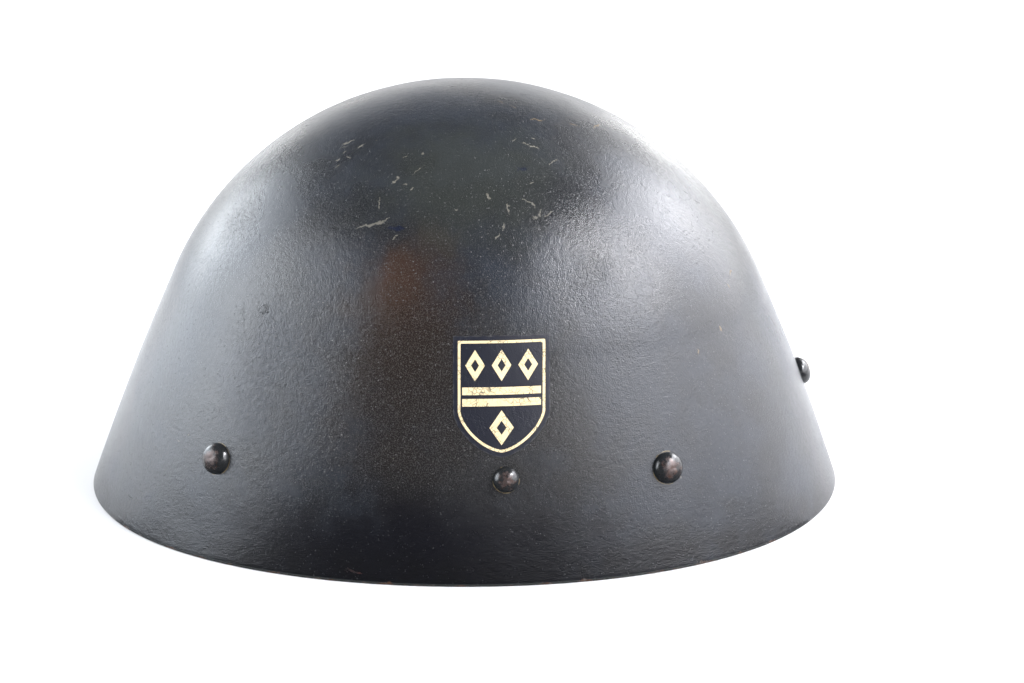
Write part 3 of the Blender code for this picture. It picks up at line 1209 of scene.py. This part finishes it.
@dataclass(frozen=True)
class LabelPrint:
    """Aged transfer film with a plain pattern: a bordered dark field, a level band and lozenges."""

    field_color: Color = (0.006, 0.007, 0.014, 1.0)
    gold: Color = (0.60, 0.47, 0.25, 1.0)
    pale_gold: Color = (0.70, 0.58, 0.36, 1.0)
    crack: Color = (0.055, 0.045, 0.028, 1.0)
    dust: Color = (0.12, 0.12, 0.13, 1.0)
    paint: Color = (0.030, 0.030, 0.032, 1.0)
    figure_edge: Grit = Grit(0.0006, 4.0, 0.7)
    figure_raggedness: float = 0.45
    figure_band: Band = (0.40, 0.52)
    field_gap: Band = (1.0, 1.1)
    lozenge_rim: Band = (1.0, 0.96)
    lozenge_eye: Band = (0.42, 0.38)
    crackle_scale: float = 650.0
    crack_width: Band = (0.07, 0.02)
    crack_spread: Grit = Grit(0.006)
    crack_band: Band = (0.42, 0.6)
    crack_relief: float = -0.4
    crack_tint: float = 0.85
    fading: Grit = Grit(0.004, 3.0)
    dust_tint: float = 0.35
    dust_spacing: float = 0.00095
    dust_share: float = 0.25
    dust_radius: float = 0.30
    edge_wear: Grit = Grit(0.0018, 5.0, 0.7)
    edge_depth: float = -2.2
    edge_band: Band = (-0.75, -1.0)
    spot_wear: Grit = Grit(0.0010, 4.0, 0.7)
    spot_band: Band = (0.70, 0.76)
    roughness: float = 0.36
    gold_roughness: float = 0.14
    grain_size: float = 0.0006
    grain_depth: float = 0.00009
    grain_strength: float = 0.7

    def material(self, label: "ShieldLabel", effects: Effects) -> bpy.types.Material:
        """Builds the print's material. Its UV map holds millimetres across and up from the label's foot.

        Args:
            label: the label, for its sizes.
            effects: shared node groups.

        Returns:
            The material.
        """
        finish = Finish("aged_label_print")
        inset = finish.attribute("inset")
        ragged = finish.calc("SUBTRACT", finish.fine_noise(self.figure_edge), 0.5)
        figure = finish.mix_in(ragged, self.figure_raggedness, self.figure(finish, inset, label))
        figure = finish.ramp(figure, *self.figure_band)
        cells = finish.node("ShaderNodeTexVoronoi", {"Vector": finish.position, "Scale": self.crackle_scale},
                            feature="DISTANCE_TO_EDGE")
        lines = finish.times(finish.ramp(cells.outputs["Distance"], *self.crack_width),
                             finish.ramp(finish.fine_noise(self.crack_spread), *self.crack_band))
        aged = finish.blend(finish.fine_noise(self.fading), self.gold, self.pale_gold)
        gold = finish.blend(finish.times(lines, self.crack_tint), aged, self.crack)
        color = finish.blend(figure, self.field_color, gold)
        dust = finish.use(effects.specks, {"Position": finish.position, "Spacing": self.dust_spacing,
                                           "Share": self.dust_share, "Radius": self.dust_radius})["Dots"]
        color = finish.blend(finish.times(dust, self.dust_tint), color, self.dust)
        color = finish.blend(self.rubbed(finish, inset), color, self.paint)
        grain = finish.use(effects.grain, {"Position": finish.position, "Size": self.grain_size})
        height = finish.mix_in(lines, self.crack_relief, grain["Height"])
        rough = finish.mix_in(figure, self.gold_roughness, self.roughness)
        finish.shade(color, rough, height, self.grain_depth, self.grain_strength)
        return finish.material

    def figure(self, finish: Finish, inset: Socket, label: "ShieldLabel") -> Socket:
        """Mask of the pale pattern: an inset border line, a level band with a dark core, and lozenges.

        Args:
            finish: the material under construction.
            inset: millimetres in from the outline.
            label: the label, for its sizes.

        Returns:
            The mask.
        """
        spot = finish.parts(finish.uv)
        border = self.band(finish, inset, label.border_inset, label.border_width)
        field_mask = finish.ramp(inset, *(label.border_inset + gap for gap in self.field_gap))
        band = self.band(finish, spot["Y"], label.band_height, label.band_width)
        core = self.band(finish, spot["Y"], label.band_height, label.band_core)
        band = finish.times(finish.calc("SUBTRACT", band, core), field_mask)
        figure = finish.calc("MAXIMUM", border, band)
        for column, height, width, tall in label.lozenges:
            out = finish.calc("ABSOLUTE", finish.calc("SUBTRACT", spot["X"], column))
            rise = finish.calc("ABSOLUTE", finish.calc("SUBTRACT", spot["Y"], height))
            total = finish.calc("ADD", finish.calc("DIVIDE", out, width), finish.calc("DIVIDE", rise, tall))
            lozenge = finish.calc("SUBTRACT", finish.ramp(total, *self.lozenge_rim),
                                  finish.ramp(total, *self.lozenge_eye))
            figure = finish.calc("MAXIMUM", figure, lozenge)
        return figure

    def band(self, finish: Finish, value: Socket, middle: float, width: float) -> Socket:
        """Mask of a straight band.

        Args:
            finish: the material under construction.
            value: coordinate across the band.
            middle: the band's middle.
            width: the band's width.

        Returns:
            The mask.
        """
        soft_edge = 0.05
        off = finish.calc("ABSOLUTE", finish.calc("SUBTRACT", value, middle))
        return finish.ramp(off, width / 2.0 + soft_edge, width / 2.0 - soft_edge)

    def rubbed(self, finish: Finish, inset: Socket) -> Socket:
        """Mask of the film's worn edge and of a few rubbed spots.

        Args:
            finish: the material under construction.
            inset: millimetres in from the outline.

        Returns:
            The mask.
        """
        worn_in = finish.mix_in(finish.fine_noise(self.edge_wear), self.edge_depth, inset)
        edge = finish.ramp(worn_in, *self.edge_band)
        spots = finish.ramp(finish.fine_noise(self.spot_wear), *self.spot_band)
        return finish.calc("MAXIMUM", edge, spots)


@dataclass(frozen=True)
class FloorPaper:
    """Plain pale paper under the helmet, or a dark card, faintly uneven."""

    color: Color = (0.62, 0.62, 0.625, 1.0)
    unevenness: Grit = Grit(0.15, 3.0)
    shade_share: float = 0.985
    roughness: float = 0.85

    def material(self) -> bpy.types.Material:
        """Builds the paper's material.

        Returns:
            The material.
        """
        finish = Finish("floor_paper")
        shade = tuple(self.shade_share * value for value in self.color[:3]) + (1.0,)
        color = finish.blend(finish.fine_noise(self.unevenness), self.color, shade)
        finish.link(color, finish.shader.inputs["Base Color"])
        finish.shader.inputs["Roughness"].default_value = self.roughness
        return finish.material


@dataclass
class HelmetShell:
    """The pressed shell: outer surface, rounded rim and inner surface as one closed skin."""

    form: ShellForm
    sides: int = 352
    outer_rows: int = 168
    inner_rows: int = 64
    rim_radius: float = 0.0006
    inner_radius: float = 0.0004
    arc_steps: int = 5
    pole_gap: float = 1e-7

    def build(self) -> bpy.types.Object:
        """Builds the skin from rings that run down the outside, round the rim and up the inside.

        Returns:
            The object.
        """
        turn = np.arange(self.sides) * (FULL_TURN / self.sides)
        outer = self.outer_rings(turn)
        rim = self.rim_rings(turn)
        inner = self.inner_rings(turn)
        rings = np.concatenate([outer, rim, inner])
        top = self.form.surface(np.array([0.0]), np.array([self.form.height - self.pole_gap]))[0] * UP
        poles = np.stack([top, top - self.form.steel * UP])
        points = np.concatenate([rings.reshape(-1, 3), poles])
        rows = len(rings)
        obj = surface_object("helmet_shell_skin", points, ring_faces(rows, self.sides),
                             cap_faces(rows, self.sides))
        inside = np.zeros(len(points), np.float32)
        first_inner = (len(outer) + len(rim)) * self.sides
        inside[first_inner:rows * self.sides] = 1.0
        inside[-1] = 1.0
        obj.data.attributes.new("inside", "FLOAT", "POINT").data.foreach_set("value", inside)
        return obj

    def lean(self, turn: np.ndarray) -> np.ndarray:
        """Elevation of the wall's normal at the rim for each turn."""
        normal = self.form.normal(turn, np.zeros_like(turn))
        return np.arcsin(normal[..., 2])

    def outer_rings(self, turn: np.ndarray) -> np.ndarray:
        """Rings of the outer surface, ending where the rim's rounding touches the wall.

        Args:
            turn: turns of the ring's vertices.

        Returns:
            Rings of points.
        """
        lowest = self.rim_radius * (1.0 + np.sin(self.lean(turn)))
        share = np.cos(np.linspace(0.0, QUARTER_TURN, self.outer_rows + 1)[1:-1])
        height = lowest[None, :] + (self.form.height - lowest[None, :]) * share[:, None]
        return self.form.surface(np.broadcast_to(turn, height.shape), height)

    def rim_rings(self, turn: np.ndarray) -> np.ndarray:
        """Rings round the rim, each corner an arc that touches the wall and the flat underside.

        Args:
            turn: turns of the ring's vertices.

        Returns:
            Rings of points.
        """
        lean = self.lean(turn)
        foot = self.form.smooth_point(turn, np.zeros_like(turn))
        normal = self.form.normal(turn, np.zeros_like(turn))
        level = np.stack([normal[:, 0], normal[:, 1], np.zeros_like(turn)], axis=-1)
        level = level / np.linalg.norm(level, axis=-1, keepdims=True)
        thick = self.form.steel / np.cos(lean)
        corners = (
            (self.rim_radius, 0.0 * lean, 1.0, lean, -QUARTER_TURN + 0.0 * lean),
            (self.inner_radius, -thick, -1.0, -QUARTER_TURN + 0.0 * lean, -math.pi + lean),
        )
        rings = []
        for radius, wall, sign, start, end in corners:
            center = wall - radius * np.tan(lean) - sign * radius / np.cos(lean)
            for share in np.linspace(0.0, 1.0, self.arc_steps + 1):
                angle = start + (end - start) * share
                out = center + radius * np.cos(angle)
                rise = radius + radius * np.sin(angle)
                rings.append(foot + out[:, None] * level + rise[:, None] * UP)
        return np.stack(rings)

    def inner_rings(self, turn: np.ndarray) -> np.ndarray:
        """Rings of the inner surface from the rim up, a steel's thickness inside the outer one.

        Args:
            turn: turns of the ring's vertices.

        Returns:
            Rings of points.
        """
        sine = np.sin(self.lean(turn))
        lowest = self.inner_radius * (1.0 - sine) + self.form.steel * sine
        share = np.sin(np.linspace(0.0, QUARTER_TURN, self.inner_rows + 1)[1:-1])
        height = lowest[None, :] + (self.form.height - lowest[None, :]) * share[:, None]
        return self.form.surface(np.broadcast_to(turn, height.shape), height, -self.form.steel)


@dataclass(frozen=True)
class RivetForm:
    """Sizes of one kind of rivet. Its dome is a superellipse with an exponent for each axis."""

    head_radius: float
    head_height: float
    seat_gap: float = 0.0003
    sink: float = 0.0002
    shank: float = 0.0021
    tail_radius: float = 0.0036
    tail_top: float = 0.0018
    tail_length: float = 0.0014
    tail_rounding: float = 0.0004
    dome_exponents: tuple[float, float] = (2.25, 1.9)
    rounding_steps: int = 4


LINER_RIVET = RivetForm(head_radius=0.0056, head_height=0.0038)
CHIN_RIVET = RivetForm(head_radius=0.0044, head_height=0.0030)


@dataclass
class Rivet:
    """A domed rivet, turned about its own axis and set square to the shell."""

    name: str
    kind: RivetForm
    side: Side
    station: float
    height: float
    sides: int = 56
    dome_steps: int = 22
    dome_share: float = 0.5
    foot_share: float = 0.55
    hammering: float = 0.00007
    beat_by_station: float = 900.0
    beat_by_side: float = 1.7
    hammer_waves: tuple[tuple[float, float, float], ...] = ((1.0, 2.0, 3.0), (0.6, 3.0, 5.0))

    def profile(self) -> tuple[np.ndarray, np.ndarray, np.ndarray]:
        """Half outline from the top of the dome to the end of the tail.

        The foot, the shank and the tail are straight, with a small round at the tail's end.

        Returns:
            Radii, heights, and a share that is 0 at the top, 0.5 at the dome's foot and 1 at the tail.
        """
        kind = self.kind
        polar = np.linspace(0.0, QUARTER_TURN, self.dome_steps + 1)[1:]
        radius = kind.head_radius * np.sin(polar) ** (2.0 / kind.dome_exponents[0])
        rise = kind.head_height * np.cos(polar) ** (2.0 / kind.dome_exponents[1]) + kind.seat_gap
        end = -kind.tail_top - kind.tail_length
        curve = np.linspace(0.0, QUARTER_TURN, kind.rounding_steps + 1)
        tail_radius = kind.tail_radius - kind.tail_rounding * (1.0 - np.cos(curve))
        tail_rise = end + kind.tail_rounding * (1.0 - np.sin(curve))
        shank_radius = [kind.head_radius, kind.shank, kind.shank, kind.tail_radius]
        shank_rise = [-kind.sink, -kind.sink, -kind.tail_top, -kind.tail_top]
        head = np.linspace(0.0, self.dome_share, self.dome_steps + 1)[1:]
        rest = np.linspace(self.foot_share, 1.0, len(shank_radius) + len(curve))
        return (np.concatenate([radius, shank_radius, tail_radius]),
                np.concatenate([rise, shank_rise, tail_rise]), np.concatenate([head, rest]))

    def axes(self, form: ShellForm) -> tuple[np.ndarray, np.ndarray, np.ndarray, np.ndarray]:
        """Seat on the shell and three directions: two in the shell's plane and the outward one.

        Args:
            form: the shell's form.

        Returns:
            Seat, first and second in-plane direction, and outward direction.
        """
        height = np.array([self.height])
        turn = np.array([0.0])
        if self.side is not Side.CENTER:
            turn = form.turn_at(np.array([self.station]), height)
        seat = form.smooth_point(turn, height)[0]
        out = form.normal(turn, height)[0]
        if self.side is Side.RIGHT:
            mirror = np.array([-1.0, 1.0, 1.0])
            seat, out = seat * mirror, out * mirror
        first = np.cross(UP, out)
        first = first / np.linalg.norm(first)
        return seat, first, np.cross(out, first), out

    def hammer_marks(self, turn: np.ndarray, share: np.ndarray) -> np.ndarray:
        """Depth of the shallow hammer marks on the dome, none past its foot.

        Each pattern is a strength, the waves round the dome and the half waves down the profile. All but the
        second pattern's waves down shift from rivet to rivet.

        Args:
            turn: turns of the ring's vertices.
            share: shares of the way down the profile.

        Returns:
            Depths by ring and vertex.
        """
        beat = self.station * self.beat_by_station + self.side.value * self.beat_by_side
        down = math.pi * share[:, None]
        (strong, wide, deep), (weak, narrow, short) = self.hammer_waves
        wobble = strong * np.sin(wide * turn + beat) * np.sin(deep * down + beat)
        wobble = wobble + weak * np.sin(narrow * turn - beat) * np.sin(short * down)
        on_dome = np.clip(1.0 - share / self.dome_share, 0.0, 1.0)[:, None]
        return self.hammering * on_dome * (1.0 + wobble)

    def build(self, form: ShellForm) -> bpy.types.Object:
        """Builds the rivet by turning its profile, with shallow hammer marks on the dome.

        Args:
            form: the shell's form.

        Returns:
            The object.
        """
        radius, rise, share = self.profile()
        turn = np.arange(self.sides) * (FULL_TURN / self.sides)
        seat, first, second, out = self.axes(form)
        height = rise[:, None] - self.hammer_marks(turn, share)
        around = np.cos(turn)[:, None] * first + np.sin(turn)[:, None] * second
        rings = seat + radius[:, None, None] * around + height[..., None] * out
        top = seat + (self.kind.head_height + self.kind.seat_gap - self.hammering) * out
        end = seat + rise[-1] * out
        rows = len(radius)
        points = np.concatenate([rings.reshape(-1, 3), [top, end]])
        uv = np.stack(np.broadcast_arrays(turn[None, :] / FULL_TURN, share[:, None]), axis=-1)
        uv = np.concatenate([uv.reshape(-1, 2), [[0.0, 0.0], [0.0, 1.0]]])
        obj = surface_object(self.name + "_turned", points, ring_faces(rows, self.sides),
                             cap_faces(rows, self.sides), uv)
        obj.data.set_sharp_from_angle(angle=SHARP_EDGE)
        return obj


RIVETS = (
    Rivet("front_rivet_left", LINER_RIVET, Side.LEFT, -0.085, 0.035),
    Rivet("front_rivet_right", LINER_RIVET, Side.RIGHT, -0.085, 0.035),
    Rivet("chin_rivet_left", CHIN_RIVET, Side.LEFT, 0.017, 0.036),
    Rivet("chin_rivet_right", CHIN_RIVET, Side.RIGHT, 0.017, 0.036),
    Rivet("rear_rivet_left", LINER_RIVET, Side.LEFT, 0.073, 0.035),
    Rivet("rear_rivet_right", LINER_RIVET, Side.RIGHT, 0.073, 0.035),
    Rivet("rear_rivet_center", LINER_RIVET, Side.CENTER, 0.148, 0.040),
)


@dataclass
class ShieldLabel:
    """The thin shield-shaped transfer above the left chin rivet.

    Its pattern's sizes, from border_inset on, are in millimetres. A lozenge has its place across and up, its
    half-width and its half-height.
    """

    station: float = 0.017
    rivet_height: float = 0.036
    foot_gap: float = 0.0077
    forward_shift: float = 0.0015
    width: float = 0.033
    length: float = 0.041
    straight_share: float = 0.62
    point_exponent: float = 1.6
    film: float = 0.00006
    lift: float = 0.00001
    rows: int = 84
    columns: int = 64
    outline_points: int = 120
    tip_share: float = 0.9999
    border_inset: float = 2.1
    border_width: float = 0.9
    band_height: float = 20.5
    band_width: float = 6.4
    band_core: float = 1.3
    lozenges: tuple[tuple[float, float, float, float], ...] = field(default=(
        (-9.0, 31.0, 3.4, 5.4), (0.0, 31.0, 3.4, 5.4), (9.0, 31.0, 3.4, 5.4), (0.0, 10.0, 4.2, 6.0)))

    def half_width(self, share: np.ndarray) -> np.ndarray:
        """Half-width at each share of the length: straight sides, then a superellipse down to the point.

        Args:
            share: shares of the length from the top.

        Returns:
            Half-widths.
        """
        swing = np.clip((share - self.straight_share) / (1.0 - self.straight_share), 0.0, 1.0)
        rest = np.clip(1.0 - swing ** self.point_exponent, 0.0, 1.0)
        return self.width / 2.0 * rest ** (1.0 / self.point_exponent)

    def row_shares(self) -> np.ndarray:
        """Shares of the length at the film's rows: even down the straight sides, closer towards the point.

        Returns:
            The shares, the last one just short of the point.
        """
        half = self.rows // 2
        swing = np.sin(np.linspace(0.0, QUARTER_TURN, half))[:-1] * self.tip_share
        return np.concatenate([np.linspace(0.0, self.straight_share, self.rows - half, endpoint=False),
                               self.straight_share + (1.0 - self.straight_share) * swing])

    def inset(self, across: np.ndarray, share: np.ndarray) -> np.ndarray:
        """Distance in from the outline, in millimetres, from the nearest of many points on it.

        Args:
            across: distances from the middle.
            share: shares of the length from the top.

        Returns:
            Distances in millimetres.
        """
        count = self.outline_points
        swing = np.sin(np.linspace(0.0, QUARTER_TURN, 2 * count))
        along = np.concatenate([np.linspace(0.0, self.straight_share, count),
                                self.straight_share + (1.0 - self.straight_share) * swing])
        sides = np.stack([self.half_width(along), along * self.length], axis=-1)
        top = np.stack([np.linspace(0.0, self.width / 2.0, count), np.zeros(count)], axis=-1)
        outline = np.concatenate([sides, top])
        here = np.stack([np.abs(across).ravel(), (share * self.length).ravel()], axis=-1)
        gaps = np.linalg.norm(here[:, None, :] - outline[None], axis=-1)
        return gaps.min(axis=1).reshape(across.shape) / MM

    def build(self, form: ShellForm) -> bpy.types.Object:
        """Builds the film as a closed thin sheet that follows the shell.

        Args:
            form: the shell's form.

        Returns:
            The object.
        """
        share = self.row_shares()
        across = self.half_width(share)[:, None] * np.linspace(-1.0, 1.0, self.columns)[None, :]
        share_grid = np.broadcast_to(share[:, None], across.shape)
        chin_turn = form.turn_at(np.array([self.station]), np.array([self.rivet_height]))
        normal = form.normal(chin_turn, np.array([self.rivet_height]))[0]
        upright = math.hypot(normal[0], normal[1])
        foot = self.rivet_height + self.foot_gap * upright
        height = foot + self.length * (1.0 - share_grid) * upright
        middle = self.station - self.forward_shift
        turn = form.turn_at(middle + across, height)
        tip_turn = form.turn_at(np.array([middle]), np.array([foot]))
        layers = []
        for lift in (self.lift + self.film, self.lift):
            layers.append(form.surface(turn, height, lift).reshape(-1, 3))
            layers.append(form.surface(tip_turn, np.array([foot]), lift))
        faces, triangles = self.faces(len(share), across.size)
        uv = np.stack([across / MM, self.length * (1.0 - share_grid) / MM], axis=-1).reshape(-1, 2)
        uv = np.concatenate([uv, [[0.0, 0.0]]])
        obj = surface_object("side_shield_film", np.concatenate(layers), faces, triangles,
                             np.concatenate([uv, uv]))
        inset = np.append(self.inset(across, share_grid).ravel(), 0.0)
        attribute = obj.data.attributes.new("inset", "FLOAT", "POINT")
        attribute.data.foreach_set("value", np.concatenate([inset, inset]).astype(np.float32))
        obj.data.set_sharp_from_angle(angle=SHARP_EDGE)
        return obj

    def faces(self, rows: int, count: int) -> tuple[np.ndarray, np.ndarray]:
        """Faces of the front, the back and the edge between them.

        Args:
            rows: rows of the grid.
            count: points of one grid.

        Returns:
            Four-cornered and three-cornered faces.
        """
        columns = self.columns
        row, column = np.meshgrid(np.arange(rows - 1), np.arange(columns - 1), indexing="ij")
        first = (row * columns + column).ravel()
        front = np.stack([first, first + columns, first + columns + 1, first + 1], axis=-1)
        last = (rows - 1) * columns + np.arange(columns - 1)
        tip = np.full(columns - 1, count)
        front_tip = np.stack([last, tip, last + 1], axis=-1)
        step = count + 1
        left = np.append(np.arange(rows) * columns, count)
        right = np.append(np.arange(rows) * columns + columns - 1, count)[::-1]
        top = np.arange(columns - 1, -1, -1)
        border = np.concatenate([left, right[1:], top[1:]])
        edge = np.stack([border[:-1], border[:-1] + step, border[1:] + step, border[1:]], axis=-1)
        quads = np.concatenate([front, front[:, ::-1] + step, edge])
        return quads, np.concatenate([front_tip, front_tip[:, ::-1] + step])


@dataclass(frozen=True)
class SoftBox:
    """A soft area light: bearing and elevation from the helmet, distance, size, brightness and tint.

    One that is not mirrored lights surfaces without showing as a reflection in them.
    """

    name: str
    bearing: float
    elevation: float
    distance: float
    size: tuple[float, float]
    brightness: float
    tint: tuple[float, float, float]
    mirrored: bool = True

    def build(self, target: Vector) -> bpy.types.Object:
        """Makes the light, facing the target.

        Args:
            target: point that the light faces.

        Returns:
            The light's object.
        """
        data = bpy.data.lights.new(self.name, "AREA")
        data.shape = "RECTANGLE"
        data.size, data.size_y = self.size
        data.energy = self.brightness * math.pi * self.size[0] * self.size[1]
        data.color = self.tint
        light = bpy.data.objects.new(self.name, data)
        bearing, elevation = math.radians(self.bearing), math.radians(self.elevation)
        level = math.cos(elevation)
        way = Vector((math.cos(bearing) * level, math.sin(bearing) * level, math.sin(elevation)))
        light.location = target + self.distance * way
        light.rotation_euler = way.to_track_quat("Z", "Y").to_euler()
        light.visible_camera = False
        light.visible_glossy = self.mirrored
        bpy.context.scene.collection.objects.link(light)
        return light


@dataclass
class Studio:
    """Pale floor, soft boxes and a dim room."""

    floor_size: float = 12.0
    flag_reach: Band = (0.06, 1.2)
    flag_width: float = 1.0
    flag_lift: float = 0.0001
    flag_color: Color = (0.01, 0.01, 0.01, 1.0)
    room: tuple[float, float, float] = (0.80, 0.84, 0.90)
    room_light: float = 0.14
    target: Vector = field(default_factory=lambda: Vector((0.0, 0.0, 0.05)))
    boxes: tuple[SoftBox, ...] = (
        SoftBox("front_soft_box", -95.0, 16.0, 1.25, (1.75, 0.75), 5.4, (0.85, 0.92, 1.0)),
        SoftBox("front_top_box", -100.0, 38.0, 1.25, (1.6, 0.24), 2.2, (0.90, 0.95, 1.0)),
        SoftBox("front_inner_box", -57.0, 24.0, 1.25, (0.40, 0.70), 4.7, (0.96, 0.97, 1.0)),
        SoftBox("front_outer_box", -127.0, 22.0, 1.25, (0.45, 0.45), 5.2, (0.90, 0.95, 1.0)),
        SoftBox("front_middle_box", -84.0, 25.0, 1.25, (0.45, 0.80), 3.6, (0.93, 0.95, 1.0)),
        SoftBox("front_foot_box", -54.0, 6.5, 1.25, (0.50, 0.12), 2.4, (0.93, 0.95, 1.0)),
        SoftBox("front_edge_box", -146.0, 8.0, 2.9, (1.6, 0.60), 2.6, (0.94, 0.97, 1.0)),
        SoftBox("rear_high_box", 85.0, 40.5, 1.33, (2.6, 0.35), 13.5, (0.945, 0.95, 1.0)),
        SoftBox("rear_middle_box", 85.0, 23.0, 1.3, (2.6, 0.50), 5.9, (0.945, 0.95, 1.0)),
        SoftBox("rear_low_box", 85.0, 6.0, 1.25, (2.4, 0.35), 3.0, (0.97, 0.97, 1.0)),
        SoftBox("rear_inner_box", 33.0, 15.0, 1.3, (0.30, 0.45), 4.6, (0.97, 0.97, 1.0)),
        SoftBox("rear_key_box", 62.0, 42.0, 1.4, (0.34, 0.30), 36.0, (0.97, 0.97, 1.0)),
        SoftBox("rear_outer_box", 127.0, 37.0, 1.4, (0.90, 0.80), 2.3, (0.96, 0.97, 1.0)),
        SoftBox("rear_foot_box", 14.0, 6.5, 1.25, (0.45, 0.12), 2.4, (0.96, 0.97, 1.0)),
        SoftBox("rear_edge_box", 149.0, 10.0, 2.9, (1.9, 0.75), 3.4, (1.0, 1.0, 1.0)),
        SoftBox("back_soft_box", 180.0, 16.0, 2.9, (2.6, 1.5), 1.7, (1.0, 1.0, 1.0)),
        SoftBox("floor_wash", 180.0, 42.0, 2.2, (1.5, 2.5), 1.1, (1.0, 1.0, 1.0), False),
        SoftBox("floor_left_wash", -128.0, 48.0, 2.6, (2.2, 2.2), 2.7, (1.0, 0.99, 0.97), False),
    )

    def build(self) -> None:
        """Builds the floor, the lights and the room's dim light."""
        half = self.floor_size / 2.0
        floor = flat_sheet("studio_floor", (-half, -half), (half, half), 0.0)
        floor.data.materials.append(FloorPaper().material())
        for box in self.boxes:
            box.build(self.target)
        self.dark_flag()
        self.room_shell()

    def dark_flag(self) -> None:
        """Lays a dark card before the camera that only mirror rays meet: it keeps the shell's foot dark."""
        near, far = self.flag_reach
        half = self.flag_width / 2.0
        flag = flat_sheet("dark_flag", (near, -half), (far, half), self.flag_lift)
        flag.data.materials.append(FloorPaper(color=self.flag_color).material())
        flag.visible_camera = False
        flag.visible_diffuse = False
        flag.visible_shadow = False

    def room_shell(self) -> None:
        """Sets the room's dim light and the plain view transform."""
        world = bpy.data.worlds.new("studio_room")
        bpy.context.scene.world = world
        world.use_nodes = True
        background = world.node_tree.nodes["Background"]
        background.inputs["Color"].default_value = self.room + (1.0,)
        background.inputs["Strength"].default_value = self.room_light
        bpy.context.scene.view_settings.view_transform = "Standard"


def finish_piece(piece: bpy.types.Object, material: bpy.types.Material, node: str) -> None:
    """Gives a piece its material and its place in the frame, and reports it.

    Args:
        piece: the new piece.
        material: its finish.
        node: the part's node that it stands for.
    """
    piece.data.materials.append(material)
    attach(piece, "root")
    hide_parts(node)
    LOG.info("%s: %d faces for %s", piece.name, len(piece.data.polygons), node)


def shell_form(corner_loss: float = 0.0001) -> ShellForm:
    """Form of the shell from the frame's box.

    Args:
        corner_loss: how far the part's rounded rim stands inside the sharp corner of its walls.

    Returns:
        The form.
    """
    low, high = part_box("helmet_shell")
    return ShellForm(half_length=(high.y - low.y) / 2.0 + corner_loss,
                     half_width=(high.x - low.x) / 2.0 + corner_loss, height=high.z)


def main() -> None:
    """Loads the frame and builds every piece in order."""
    logging.basicConfig(level=logging.INFO, format="%(name)s %(message)s")
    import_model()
    form = shell_form()
    view = PhotoView()
    view.build()
    Studio().build()
    effects = Effects(grain=grain_group(), mark=mark_group(), patch=patch_group(), specks=specks_group())
    shell = HelmetShell(form).build()
    finish_piece(shell, ShellPaint().material(form, view, effects), "helmet_shell")
    steel = RivetSteel().material(effects)
    for rivet in RIVETS:
        finish_piece(rivet.build(form), steel, rivet.name)
    label = ShieldLabel()
    print_look = LabelPrint().material(label, effects)
    finish_piece(label.build(form), print_look, "side_shield_label")


if __name__ == "__main__":
    main()
